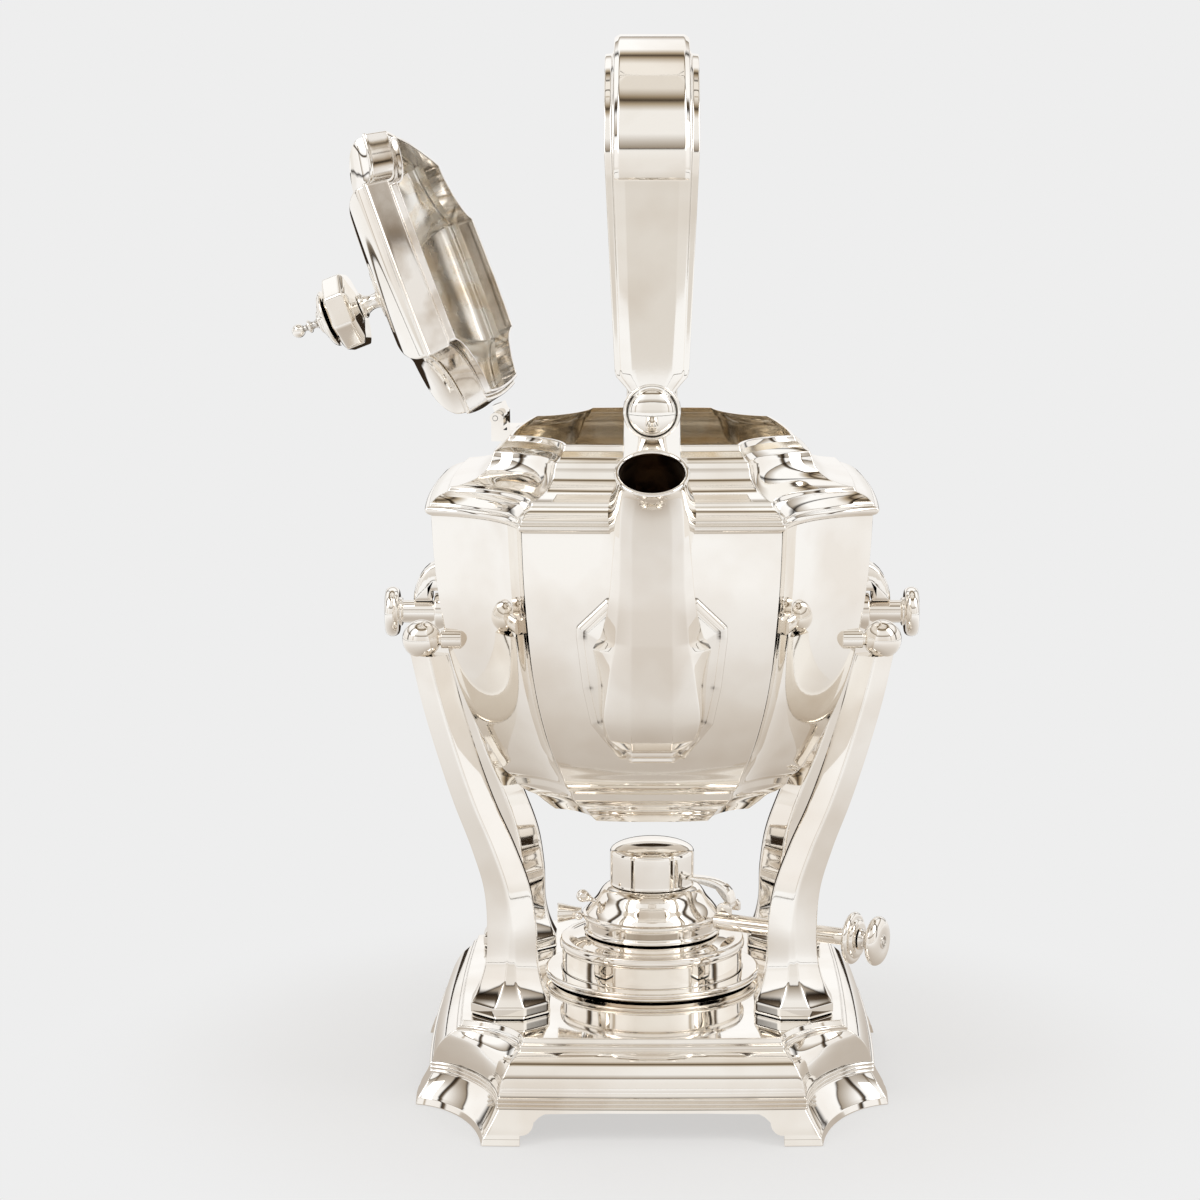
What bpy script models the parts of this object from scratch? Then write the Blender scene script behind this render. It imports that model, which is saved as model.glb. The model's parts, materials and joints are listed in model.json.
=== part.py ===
"""Spirit kettle on a four-legged stand, with its lamp, in polished silver.

Metres, +Z up. The stand's centre line is the Z axis while the pieces are made; at the end the
whole part is moved so that its box stands centred on the origin. The spout points to -Y.
"""
import bpy
import bmesh
import math
from mathutils import Matrix, Vector

# Running and seating clearances, and how far a cutter overruns
seat_gap = 0.0003
running_gap = 0.0003
overrun = 0.004

# Plan shared by body, shoulder, lid and base: four bowed sides and four scooped corners
plan_ratio = 1.16
front_facet_share = 0.567
side_facet_share = 0.52
scoop_share = 0.8
side_bow = 0.0011

# Kettle body
body_half_width = 0.0646
body_top_z = 0.1782
body_bottom_z = 0.0854
body_wall = 0.0012
body_profile_shares = [
    (1.0, 1.0), (0.86, 0.989), (0.685, 0.960), (0.556, 0.928), (0.445, 0.886),
    (0.322, 0.818), (0.207, 0.733), (0.152, 0.686), (0.141, 0.672), (0.125, 0.640),
    (0.100, 0.628), (0.075, 0.590), (0.055, 0.540), (0.028, 0.500), (0.0, 0.455),
]
shoulder_height = 0.0221
shoulder_inset = 0.0200
rim_taper = 0.24
shoulder_profile_shares = [
    (1.0, 1.0), (0.91, 0.955), (0.80, 0.79), (0.735, 0.765), (0.58, 0.70), (0.475, 0.59),
    (0.40, 0.42), (0.362, 0.225), (0.305, 0.20), (0.25, 0.085), (0.155, -0.02), (0.127, -0.025),
    (0.105, -0.07), (0.07, -0.088), (0.035, -0.07),
]

# Lid, drawn shut and then opened about its hinge
lid_overhang = 0.0021
lid_height = 0.0224
lid_wall = 0.0011
lid_open_angle = math.radians(111.5)
lid_profile_shares = [
    (0.0, 0.036), (0.262, 0.008), (0.28, 0.0), (0.303, 0.0), (0.326, 0.012), (0.426, 0.022), (0.536, 0.062),
    (0.63, 0.125), (0.72, 0.225), (0.80, 0.36), (0.875, 0.53), (0.942, 0.72),
]
bezel_depth = 0.0018
bezel_gap = 0.0006
bezel_wall = 0.0009
bezel_height = 0.0030
lid_plate_share = 0.29
lid_plate_height = 0.0014

# Knob on the lid
spool_height = 0.0082
spool_radius = 0.0040
spool_waist_share = 0.58
nut_across = 0.0122
nut_height = 0.0098
nut_land_share = 0.56
finial_height = 0.0130
finial_radius = 0.0088
finial_ball_radius = 0.0021
fixing_nut_radius = 0.0042
fixing_nut_height = 0.0022

# Lid hinge on the kettle's left side
hinge_radius = 0.0017
hinge_pin_radius = 0.0007
hinge_length = 0.0200
hinge_offset = 0.0038
hinge_rise = 0.0032
hinge_slant = math.radians(6.1)

# Spout
spout_foot_z = 0.1050
spout_height = 0.0988
spout_reach = 0.0555
spout_half_width = 0.0215
spout_root_inset = 0.01494
spout_root_y = body_half_width * plan_ratio - spout_root_inset
spout_wall = 0.0011
spout_hole_radius = 0.0062
spout_hole_share = 0.30
shield_relief = 0.0016
shield_height_share = 0.55
shield_shares = [
    (0.60, 1.0), (1.0, 0.845), (1.0, 0.79), (0.92, 0.51), (0.815, 0.30), (0.435, 0.09),
]
# Each station: front point (reach, height), rear point (reach, height), then the half widths of the
# front facet, the ridge, the edge and the rear edge, and how far back the last three lie, as shares
spout_station_shares = [
    (0.02, 0.000, -0.20, 0.000, 0.19, 0.28, 0.37, 0.34, 0.10, 0.30, 0.8),
    (0.14, 0.047, -0.20, 0.047, 0.24, 0.40, 0.50, 0.46, 0.12, 0.45, 0.8),
    (0.27, 0.117, -0.20, 0.117, 0.27, 0.56, 0.68, 0.62, 0.14, 0.55, 0.8),
    (0.345, 0.187, -0.20, 0.187, 0.27, 0.63, 0.74, 0.68, 0.15, 0.52, 0.8),
    (0.425, 0.300, -0.20, 0.300, 0.265, 0.58, 0.81, 0.74, 0.14, 0.46, 0.8),
    (0.490, 0.403, -0.15, 0.403, 0.26, 0.50, 0.88, 0.80, 0.13, 0.44, 0.8),
    (0.510, 0.435, -0.15, 0.435, 0.258, 0.48, 0.69, 0.64, 0.13, 0.36, 0.8),
    (0.560, 0.531, 0.22, 0.539, 0.255, 0.44, 0.585, 0.54, 0.14, 0.36, 0.8),
    (0.620, 0.648, 0.315, 0.678, 0.25, 0.41, 0.525, 0.50, 0.15, 0.34, 0.78),
    (0.697, 0.759, 0.370, 0.820, 0.25, 0.405, 0.48, 0.58, 0.15, 0.30, 0.70),
    (0.802, 0.845, 0.460, 0.926, 0.25, 0.41, 0.47, 0.615, 0.15, 0.32, 0.66),
    (0.900, 0.885, 0.560, 0.978, 0.20, 0.38, 0.46, 0.50, 0.18, 0.44, 0.74),
    (0.945, 0.896, 0.630, 1.000, 0.17, 0.37, 0.468, 0.33, 0.19, 0.50, 0.87),
]

# Stand: hollow base with four bracket feet
base_half_width = 0.0710
base_height = 0.0280
base_wall = 0.0018
base_plan_ratio = 1.13
base_top_ratio = 1.165
base_profile_shares = [
    (1.0, 0.795, 0.665, 0.727), (0.945, 0.803, 0.665, 0.727), (0.935, 0.812, 0.665, 0.722),
    (0.885, 0.820, 0.662, 0.70), (0.875, 0.832, 0.662, 0.69), (0.80, 0.868, 0.668, 0.66),
    (0.70, 0.897, 0.672, 0.62), (0.585, 0.917, 0.675, 0.58), (0.475, 0.928, 0.676, 0.55),
    (0.46, 0.938, 0.676, 0.54), (0.34, 0.940, 0.677, 0.53), (0.32, 0.932, 0.677, 0.53),
    (0.22, 0.955, 0.685, 0.525), (0.10, 0.985, 0.693, 0.525), (0.0, 1.0, 0.697, 0.525),
]
foot_return = 0.0112
foot_block_height = 0.0028
arch_height = 0.0084
arch_scroll = 0.0072

# Legs: centre line and widths as shares of the leg's height and of its base width
leg_y_share = 0.524
leg_foot_share = 0.597
leg_side_gap = 0.0010
leg_y = base_half_width * leg_y_share
leg_foot_x = base_half_width * leg_foot_share
leg_top_x = body_half_width + leg_side_gap
leg_lean = leg_top_x - leg_foot_x
leg_top_z = 0.1366
leg_block_width = 0.0236
leg_block_depth = 0.0220
leg_block_level_share = 0.06
leg_block_corner_share = 0.36
leg_stem_corner_share = 0.06
leg_foot_corner_share = 0.10
leg_stem_flat_share = 0.34
leg_line_shares = [
    (0.0, 0.0, 1.0, 1.0), (0.053, 0.0, 1.0, 1.0), (0.075, -0.004, 0.84, 0.84), (0.115, -0.012, 0.69, 0.66),
    (0.24, -0.02, 0.62, 0.57), (0.345, 0.035, 0.585, 0.53), (0.46, 0.205, 0.555, 0.50),
    (0.585, 0.44, 0.52, 0.48), (0.72, 0.655, 0.50, 0.46), (0.86, 0.845, 0.49, 0.45), (1.0, 1.0, 0.47, 0.43),
]
knuckle_radius = 0.0057
knuckle_rise = 0.0046
knuckle_z = leg_top_z + knuckle_rise
knuckle_x = leg_top_x + knuckle_radius * 0.4
trunnion_radius = 0.0021
trunnion_boss_radius = 0.0029
trunnion_length = 0.0085
bolt_radius = 0.0020
bolt_head_radius = 0.0045
bolt_head_height = 0.0024
bolt_grip = 0.0070

# Rear lock pins and the kettle's rest lugs
pin_radius = 0.0036
pin_z = 0.1368
pin_head_radius = 0.0079
pin_head_thickness = 0.0045
pin_head_reach = 0.0189
pin_head_x = leg_top_x + pin_head_reach
eye_radius = 0.0060
eye_width = 0.0066
lug_thickness = 0.0100
lug_rise = 0.0124
lug_reach = 0.0065
lug_crown = 0.0088
lug_crown_shares = [(0.0, 0.0), (0.068, 0.35), (0.25, 0.66), (0.59, 0.90), (1.0, 1.0)]

# Bail handle
pivot_z = 0.2113
pivot_overhang = 0.01036
pivot_y = (body_half_width - shoulder_inset) * plan_ratio + pivot_overhang
strap_thickness = 0.0056
strap_bevel = 0.0016
arch_top_z = 0.3102
arch_radius = 0.0330
strap_low_half = 0.0100
strap_high_half = 0.0135
strap_facet_share = 0.56
strap_narrow_shares = [0.62, 0.68, 0.96]
strap_step_shares = [0, 0.09, 0.16, 0.24, 0.6]
eye_ring_radius = 0.0082
pivot_pin_radius = 0.0021
pivot_head_radius = 0.0067
pivot_head_height = 0.0036
post_thickness = 0.0030
post_half_width = 0.0080
grip_half_width = 0.0108
grip_thickness = 0.0036
grip_start_step = 7

# Lamp on the stand
tray_radius = 0.0333
tray_height = 0.0030
tray_lip = 0.0044
drum_radius = 0.0279
drum_lip = 0.0007
drum_height = 0.0112
drum_wall = 0.0010
neck_radius = 0.0120
neck_lip = 0.0022
shoulder_rise = 0.0020
collar_radius = 0.0216
collar_height = 0.0142
collar_wall = 0.0010
collar_top_radius = 0.0150
tube_radius = 0.0070
tube_wall = 0.0015
tube_rise = 0.0060
tube_drop = 0.0150
wick_gap = 0.0004
wick_show = 0.0004
cap_radius = 0.0130
cap_height = 0.0100
cap_dome = 0.0038
cap_wall = 0.0008
tube_flange_gap = 0.0006
tube_flange_radius = cap_radius - cap_wall - tube_flange_gap

# Regulator that leaves the lamp to the right and the front
regulator_angle = math.radians(-26)
regulator_radius = 0.0026
regulator_z_share = 0.36
regulator_reach = 0.0660
shield_disc_radius = 0.0079
shield_disc_thickness = 0.0036
knob_neck_radius = 0.0034
knob_neck_length = 0.0034
knob_disc_radius = 0.0075
knob_disc_thickness = 0.0040
knob_shaft_radius = 0.0012
knob_shaft_length = 0.0200

# Snuffer lever and its hinge
lever_reach = 0.0262
lever_width = 0.0042
lever_thickness = 0.0011
lever_barrel_radius = 0.0016
lever_pin_radius = 0.0006
lever_ear = 0.0016
lever_block_length = 0.0046

# Filler tube, its plug and the stud on the collar
filler_radius = 0.0019
filler_mouth_radius = 0.0031
filler_length = 0.0075
filler_plug_radius = 0.0013
stud_radius = 0.0020
stud_stem_radius = 0.0008
stud_stem_length = 0.0026
stud_angle = math.radians(196)

weld_distance = 0.000005
round_steps = 28
small_steps = 16
model_name = "spirit_kettle_on_stand"
parts = None
cutters = None
silver = {}


def clear_scene():
    for item in list(bpy.data.objects):
        bpy.data.objects.remove(item, do_unlink=True)
    for group in list(bpy.data.collections):
        bpy.data.collections.remove(group)


def make_material(name, colour, roughness, metallic):
    surface = bpy.data.materials.new(name)
    surface.use_nodes = True
    shader = surface.node_tree.nodes["Principled BSDF"]
    shader.inputs["Base Color"].default_value = (*colour, 1)
    shader.inputs["Roughness"].default_value = roughness
    shader.inputs["Metallic"].default_value = metallic
    surface.diffuse_color = (*colour, 1)
    return surface


def add_mesh(name, mesh, surface="polished_silver", group=None, smooth=True):
    item = bpy.data.objects.new(name, mesh)
    (group or parts).objects.link(item)
    if group is cutters:
        item.hide_render = True
        item.display_type = "WIRE"
    else:
        mesh.materials.append(silver[surface])
    if smooth and mesh.polygons:
        mesh.shade_smooth()
        mesh.set_sharp_from_angle(angle=math.radians(32))
    return item


def loft(name, rings, group=None, surface="polished_silver", closed=False):
    """Skin a row of rings that have the same number of points; the first and last get a cap."""
    count = len(rings[0])
    verts = [tuple(point) for ring in rings for point in ring]
    faces = []
    spans = len(rings) if closed else len(rings) - 1
    for row in range(spans):
        low = row * count
        high = ((row + 1) % len(rings)) * count
        for step in range(count):
            after = (step + 1) % count
            faces.append((low + step, low + after, high + after, high + step))
    if not closed:
        faces.append(tuple(reversed(range(count))))
        faces.append(tuple(range(len(verts) - count, len(verts))))
    mesh = bpy.data.meshes.new(name)
    mesh.from_pydata(verts, [], faces)
    work = bmesh.new()
    work.from_mesh(mesh)
    bmesh.ops.recalc_face_normals(work, faces=work.faces)
    work.to_mesh(mesh)
    work.free()
    return add_mesh(name, mesh, surface, group)


def turned(name, profile, closed=False, steps=round_steps, group=None, surface="polished_silver"):
    """A profile of (radius, height) points, run from the top down its outer side, screwed round Z."""
    mesh = bpy.data.meshes.new(name)
    verts = [(radius, 0, height) for radius, height in profile]
    edges = [(at, at + 1) for at in range(len(verts) - 1)]
    if closed:
        edges.append((len(verts) - 1, 0))
    mesh.from_pydata(verts, edges, [])
    item = add_mesh(name, mesh, surface, group)
    screw = item.modifiers.new("turn", "SCREW")
    screw.axis = "Z"
    screw.steps = steps
    screw.render_steps = steps
    screw.use_merge_vertices = True
    screw.merge_threshold = weld_distance
    screw.use_smooth_shade = True
    return item


def cylinder(name, radius, length, group=None, steps=small_steps, surface="polished_silver"):
    """A cylinder along Z that starts at its origin."""
    mesh = bpy.data.meshes.new(name)
    work = bmesh.new()
    bmesh.ops.create_cone(work, cap_ends=True, segments=steps, radius1=radius, radius2=radius, depth=length,
                          matrix=Matrix.Translation((0, 0, length / 2)))
    work.to_mesh(mesh)
    work.free()
    return add_mesh(name, mesh, surface, group)


def ball(name, radius, group=None, segments=16, rings=10, surface="polished_silver"):
    mesh = bpy.data.meshes.new(name)
    work = bmesh.new()
    bmesh.ops.create_uvsphere(work, u_segments=segments, v_segments=rings, radius=radius)
    work.to_mesh(mesh)
    work.free()
    return add_mesh(name, mesh, surface, group)


def box(name, low, high, group=None, surface="polished_silver"):
    mesh = bpy.data.meshes.new(name)
    work = bmesh.new()
    bmesh.ops.create_cube(work, size=1)
    for vert in work.verts:
        vert.co = [low[k] if vert.co[k] < 0 else high[k] for k in range(3)]
    work.to_mesh(mesh)
    work.free()
    return add_mesh(name, mesh, surface, group, smooth=False)


def plate(name, outline, thickness, matrix, group=None):
    """A flat outline, filled and extruded both ways, then made a mesh and set in its place."""
    curve = bpy.data.curves.new(name, "CURVE")
    curve.dimensions = "2D"
    curve.fill_mode = "BOTH"
    curve.extrude = thickness / 2
    spline = curve.splines.new("POLY")
    spline.points.add(len(outline) - 1)
    for at, (across, up) in enumerate(outline):
        spline.points[at].co = (across, up, 0, 1)
    spline.use_cyclic_u = True
    drawn = bpy.data.objects.new(name + "_drawn", curve)
    parts.objects.link(drawn)
    bpy.context.view_layer.update()
    seen = drawn.evaluated_get(bpy.context.evaluated_depsgraph_get())
    mesh = bpy.data.meshes.new_from_object(seen)
    mesh.name = name
    bpy.data.objects.remove(drawn, do_unlink=True)
    work = bmesh.new()
    work.from_mesh(mesh)
    bmesh.ops.remove_doubles(work, verts=work.verts, dist=weld_distance)
    bmesh.ops.recalc_face_normals(work, faces=work.faces)
    work.to_mesh(mesh)
    work.free()
    mesh.materials.clear()
    mesh.transform(matrix)
    return add_mesh(name, mesh, group=group)


def combine(item, tool, operation):
    step = item.modifiers.new(operation.lower() + "_" + tool.name, "BOOLEAN")
    step.object = tool
    step.operation = operation
    step.solver = "EXACT"
    return step


def cut(item, *tools):
    for tool in tools:
        combine(item, tool, "DIFFERENCE")


def join(item, *tools):
    for tool in tools:
        combine(item, tool, "UNION")


def place(item, location, direction=None):
    """Set an object's origin at a place, and turn its Z axis to a direction."""
    item.location = location
    if direction is not None:
        item.rotation_mode = "QUATERNION"
        item.rotation_quaternion = Vector(direction).to_track_quat("Z", "Y")
    return item


def axis_empty(name, location, parent=None):
    marker = bpy.data.objects.new(name, None)
    marker.empty_display_size = hinge_length
    parts.objects.link(marker)
    marker.location = location
    bpy.context.view_layer.update()
    if parent:
        hang(marker, parent)
    return marker


def hang(item, parent):
    """Parent an object and leave it where it stands."""
    bpy.context.view_layer.update()
    item.parent = parent
    item.matrix_parent_inverse = parent.matrix_world.inverted()


def corner_points(across, along, facet_x, facet_y, steps=4):
    """Points inside one scooped corner, from the front facet's end round to the side facet's end."""
    points = []
    for step in range(1, steps):
        share = step / steps
        turn = share * math.pi / 2
        straight = Vector((facet_x + (across - facet_x) * share, along + (facet_y - along) * share))
        scooped = Vector((across - (across - facet_x) * math.cos(turn),
                          along - (along - facet_y) * math.sin(turn)))
        points.append(straight.lerp(scooped, scoop_share))
    return points


def plan_ring(across, along, facet_x, facet_y, height, bow=0, taper=0):
    """One level of the plan, counterclockwise from the middle of the front, -Y, side."""
    corner = corner_points(across, along, facet_x, facet_y)
    quarter = [Vector((0, along + bow)), Vector((facet_x, along)), *corner, Vector((across, facet_y))]
    back = [Vector((across + bow, 0)), Vector((across, facet_y)), *reversed(corner), Vector((facet_x, along))]
    flat = [Vector((p.x, -p.y)) for p in quarter] + [Vector((p.x, p.y)) for p in back]
    flat += [Vector((-p.x, p.y)) for p in quarter] + [Vector((-p.x, -p.y)) for p in back]
    ring = []
    for point in flat:
        narrow = 1 - taper * (point.y / along + 1) / 2
        ring.append(Vector((point.x * narrow, point.y, height)))
    return ring


def kettle_ring(half_width, height, taper=0, grow=0, facet_share=front_facet_share):
    """A level of the kettle's plan; grow moves every side out by the same amount."""
    along = half_width * plan_ratio
    return plan_ring(half_width + grow, along + grow, half_width * facet_share + grow * facet_share,
                     (along + grow) * side_facet_share, height, side_bow, taper)


def body_levels():
    """(half width, height, taper) from the rim down to the bottom."""
    levels = []
    for up, inward in shoulder_profile_shares:
        levels.append((body_half_width - inward * shoulder_inset, body_top_z + up * shoulder_height,
                       rim_taper * max(inward, 0)))
    for up, out in body_profile_shares:
        levels.append((body_half_width * out, body_bottom_z + up * (body_top_z - body_bottom_z), 0))
    return levels


def inner_levels():
    """The same profile moved in by the wall along its own normal, with fewer levels."""
    levels = body_levels()
    chosen = [0, 3, 5, 7, 9, 13, 15, 17, 19, 20, 21, 23, 26]
    inside = []
    for at in chosen:
        width, height, taper = levels[at]
        before = levels[max(at - 1, 0)]
        after = levels[min(at + 1, len(levels) - 1)]
        run = Vector((after[0] - before[0], after[1] - before[1])).normalized()
        normal = Vector((run.y, -run.x))
        inside.append((width + normal.x * body_wall, height + normal.y * body_wall, taper))
    inside[0] = (levels[0][0] - body_wall, levels[0][1], levels[0][2])
    floor_width = inside[-1][0] - body_wall
    inside.append((floor_width, body_bottom_z + body_wall, 0))
    return inside


def make_kettle_body():
    outer = [kettle_ring(width, height, taper) for width, height, taper in reversed(body_levels())]
    inner = [kettle_ring(width, height, taper) for width, height, taper in inner_levels()]
    return loft("kettle_body", outer + inner)


def make_skin(name, grow):
    """The body's outer form as a solid, grown by a clearance: it cuts what is soldered to the body."""
    rings = [kettle_ring(width, height, taper, grow) for width, height, taper in reversed(body_levels())]
    for point in rings[0]:
        point.z -= grow
    return loft(name, rings, group=cutters)


def spout_ring(station, shrink=0, extend=0):
    front_reach, front_up, rear_reach, rear_up, facet, ridge, edge, rear, *backs = station
    front = Vector((-(spout_root_y + front_reach * spout_reach), spout_foot_z + front_up * spout_height))
    behind = Vector((-(spout_root_y + rear_reach * spout_reach), spout_foot_z + rear_up * spout_height))
    line = behind - front
    length = line.length
    line.normalize()
    front += line * shrink
    length -= 2 * shrink
    up = Vector((-line.y, line.x)) * extend
    ring = []
    half = [(facet, 0), *zip((ridge, edge, rear), backs), (facet, 1)]
    for side, row in ((1, half), (-1, reversed(half))):
        for width, back in row:
            at = front + line * (back * length) + up
            ring.append(Vector((side * max(width * spout_half_width - shrink, spout_wall), at.x, at.y)))
    return ring


def make_spout(skin, skin_proud):
    spout = loft("spout", [spout_ring(station) for station in spout_station_shares])
    outline = []
    for across, up in shield_shares:
        outline.append((across * spout_half_width, spout_foot_z + up * spout_height * shield_height_share))
    outline += [(-across, up) for across, up in reversed(outline)]
    depth = spout_root_y + spout_reach
    stand = Matrix.Translation((0, -depth / 2, 0)) @ Matrix.Rotation(math.pi / 2, 4, "X")
    shield = plate("spout_shield_form", outline, depth, stand, group=cutters)
    combine(shield, skin_proud, "INTERSECT")
    join(spout, shield)
    cut(spout, skin)
    bore = loft("spout_bore", [spout_ring(spout_station_shares[1], spout_wall * 2),
                               *[spout_ring(station, spout_wall) for station in spout_station_shares[2:-1]],
                               spout_ring(spout_station_shares[-1], spout_wall, -spout_wall * 0.2),
                               spout_ring(spout_station_shares[-1], spout_wall, overrun)], group=cutters)
    cut(spout, bore)
    hole = cylinder("spout_hole", spout_hole_radius, spout_reach, group=cutters)
    hole_z = spout_foot_z + spout_hole_share * spout_height
    place(hole, (0, -spout_root_y + spout_reach / 2, hole_z), (0, -1, 0))
    return spout, hole


def make_trunnion(side, skin, knuckle_bore):
    name = "trunnion_" + ("right" if side > 0 else "left")
    stem = cylinder(name, trunnion_radius, trunnion_length + overrun * 2)
    start = knuckle_x + knuckle_bore - trunnion_length - overrun * 2 - running_gap
    place(stem, (side * start, -leg_y, knuckle_z), (side, 0, 0))
    boss_length = knuckle_x - knuckle_radius - start - running_gap
    boss = cylinder(name + "_boss", trunnion_boss_radius, boss_length, group=cutters)
    place(boss, (side * start, -leg_y, knuckle_z), (side, 0, 0))
    join(stem, boss)
    cut(stem, skin)
    return stem


def make_rest_lug(side, skin):
    """A lug that reaches out over the rear leg's eye and comes down on the lock pin."""
    name = "rest_lug_" + ("right" if side > 0 else "left")
    outer = leg_top_x + eye_width / 2 + lug_reach
    step = leg_top_x + eye_width / 2 + running_gap * 2
    low = pin_z + pin_radius + running_gap
    bridge = pin_z + eye_radius + running_gap * 4
    inner = body_half_width * 0.86
    outline = [(outer - lug_crown * back, low + lug_rise * up) for back, up in lug_crown_shares]
    outline += [(inner, low + lug_rise * 1.02), (inner, bridge), (step, bridge), (step, low)]
    stand = Matrix.Translation((0, leg_y, 0)) @ Matrix.Rotation(math.pi / 2, 4, "X")
    lug = plate(name, [(side * across, up) for across, up in outline], lug_thickness, stand)
    cut(lug, skin)
    return lug


def make_post(side, skin):
    """Upright ear on the shoulder that carries one end of the bail handle."""
    name = "handle_post_" + ("rear" if side > 0 else "front")
    low = body_top_z + shoulder_height * 0.30
    outline = [(-post_half_width * 1.12, low), (post_half_width * 1.12, low)]
    steps = 12
    for step in range(steps + 1):
        turn = math.pi * step / steps
        outline.append((post_half_width * math.cos(turn), pivot_z + post_half_width * math.sin(turn)))
    centre = pivot_y - strap_thickness / 2 - seat_gap - post_thickness / 2
    stand = Matrix.Translation((0, side * centre, 0)) @ Matrix.Rotation(math.pi / 2, 4, "X")
    post = plate(name, outline, post_thickness, stand)
    bore = cylinder(name + "_bore", pivot_pin_radius + running_gap, post_thickness + overrun * 2,
                    group=cutters)
    place(bore, (0, side * (centre - post_thickness / 2 - overrun), pivot_z), (0, side, 0))
    cut(post, skin, bore)
    return post


def arch_line(steps=7):
    """Places and outward directions along the bail handle, from the front eye over to the rear one."""
    bend_z = arch_top_z - arch_radius
    half = []
    for share in strap_step_shares:
        half.append((Vector((-pivot_y, pivot_z + share * (bend_z - pivot_z))), Vector((-1, 0))))
    for step in range(steps + 1):
        turn = math.pi / 2 * step / steps
        out = Vector((-math.cos(turn), math.sin(turn)))
        half.append((Vector((arch_radius - pivot_y, bend_z)) + out * arch_radius, out))
    mirrored = [(Vector((-at.x, at.y)), Vector((-out.x, out.y))) for at, out in reversed(half)]
    return half, mirrored


def strap_half_width(at, first_share):
    rise = (at.y - pivot_z) / (arch_top_z - pivot_z)
    wide = strap_low_half + (strap_high_half - strap_low_half) * min(rise / 0.75, 1)
    return wide * first_share


def make_handle():
    half, mirrored = arch_line()
    path = half + mirrored
    rings = []
    for index, (at, out) in enumerate(path):
        steps_in = min(index, len(path) - 1 - index)
        first_share = strap_narrow_shares[steps_in] if steps_in < len(strap_narrow_shares) else 1
        wide = strap_half_width(at, first_share)
        facet = wide * strap_facet_share
        rim = strap_thickness / 2 - strap_bevel
        row = [(-facet, strap_thickness / 2), (facet, strap_thickness / 2), (wide, rim),
               (wide, -rim), (facet, -strap_thickness / 2), (-facet, -strap_thickness / 2),
               (-wide, -rim), (-wide, rim)]
        rings.append([Vector((across, at.x + out.x * lift, at.y + out.y * lift)) for across, lift in row])
    handle = loft("bail_handle", rings)
    for side in (-1, 1):
        end = "rear" if side > 0 else "front"
        eye = cylinder("handle_eye_" + end, eye_ring_radius, strap_thickness, group=cutters,
                       steps=round_steps)
        place(eye, (0, side * (pivot_y - strap_thickness / 2), pivot_z), (0, side, 0))
        join(handle, eye)
    for side in (-1, 1):
        end = "rear" if side > 0 else "front"
        bore = cylinder("handle_bore_" + end, pivot_pin_radius + running_gap, strap_thickness + overrun * 2,
                        group=cutters)
        place(bore, (0, side * (pivot_y - strap_thickness / 2 - overrun), pivot_z), (0, side, 0))
        cut(handle, bore)
    return handle


def make_grip():
    """The raised block that lies over the top of the arch."""
    half, mirrored = arch_line()
    path = half[grip_start_step:] + mirrored[:-grip_start_step]
    rings = []
    low = strap_thickness / 2 + seat_gap
    for index, (at, out) in enumerate(path):
        edge = min(index, len(path) - 1 - index)
        lift = grip_thickness * (1 if edge else 0.72)
        wide = grip_half_width * (1 if edge else 0.94)
        row = [(-wide * 0.9, low + lift), (wide * 0.9, low + lift), (wide, low + lift * 0.8),
               (wide, low), (-wide, low), (-wide, low + lift * 0.8)]
        rings.append([Vector((across, at.x + out.x * up, at.y + out.y * up)) for across, up in row])
    return loft("handle_grip", rings)


def make_pivot_bolt(side):
    name = "pivot_bolt_" + ("rear" if side > 0 else "front")
    shank = strap_thickness + seat_gap * 2 + post_thickness
    dome = []
    steps = 5
    for step in range(steps + 1):
        turn = math.pi / 2 * step / steps
        dome.append((pivot_head_radius * math.sin(turn), pivot_head_height * (0.3 + 0.7 * math.cos(turn))))
    bolt = turned(name, dome + [(pivot_head_radius, 0), (pivot_pin_radius, 0), (pivot_pin_radius, -shank),
                                (0, -shank)], steps=24)
    head_y = side * (pivot_y + strap_thickness / 2 + seat_gap)
    return place(bolt, (0, head_y, pivot_z), (0, side, 0))


def hinge_point():
    rim_half = body_half_width - shoulder_inset
    edge = (rim_half + lid_overhang) * (1 - rim_taper / 2) + side_bow
    return Vector((-edge - hinge_offset, 0, body_top_z + shoulder_height + hinge_rise))


def hinge_direction():
    return Vector((math.sin(hinge_slant), math.cos(hinge_slant), 0))


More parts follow.
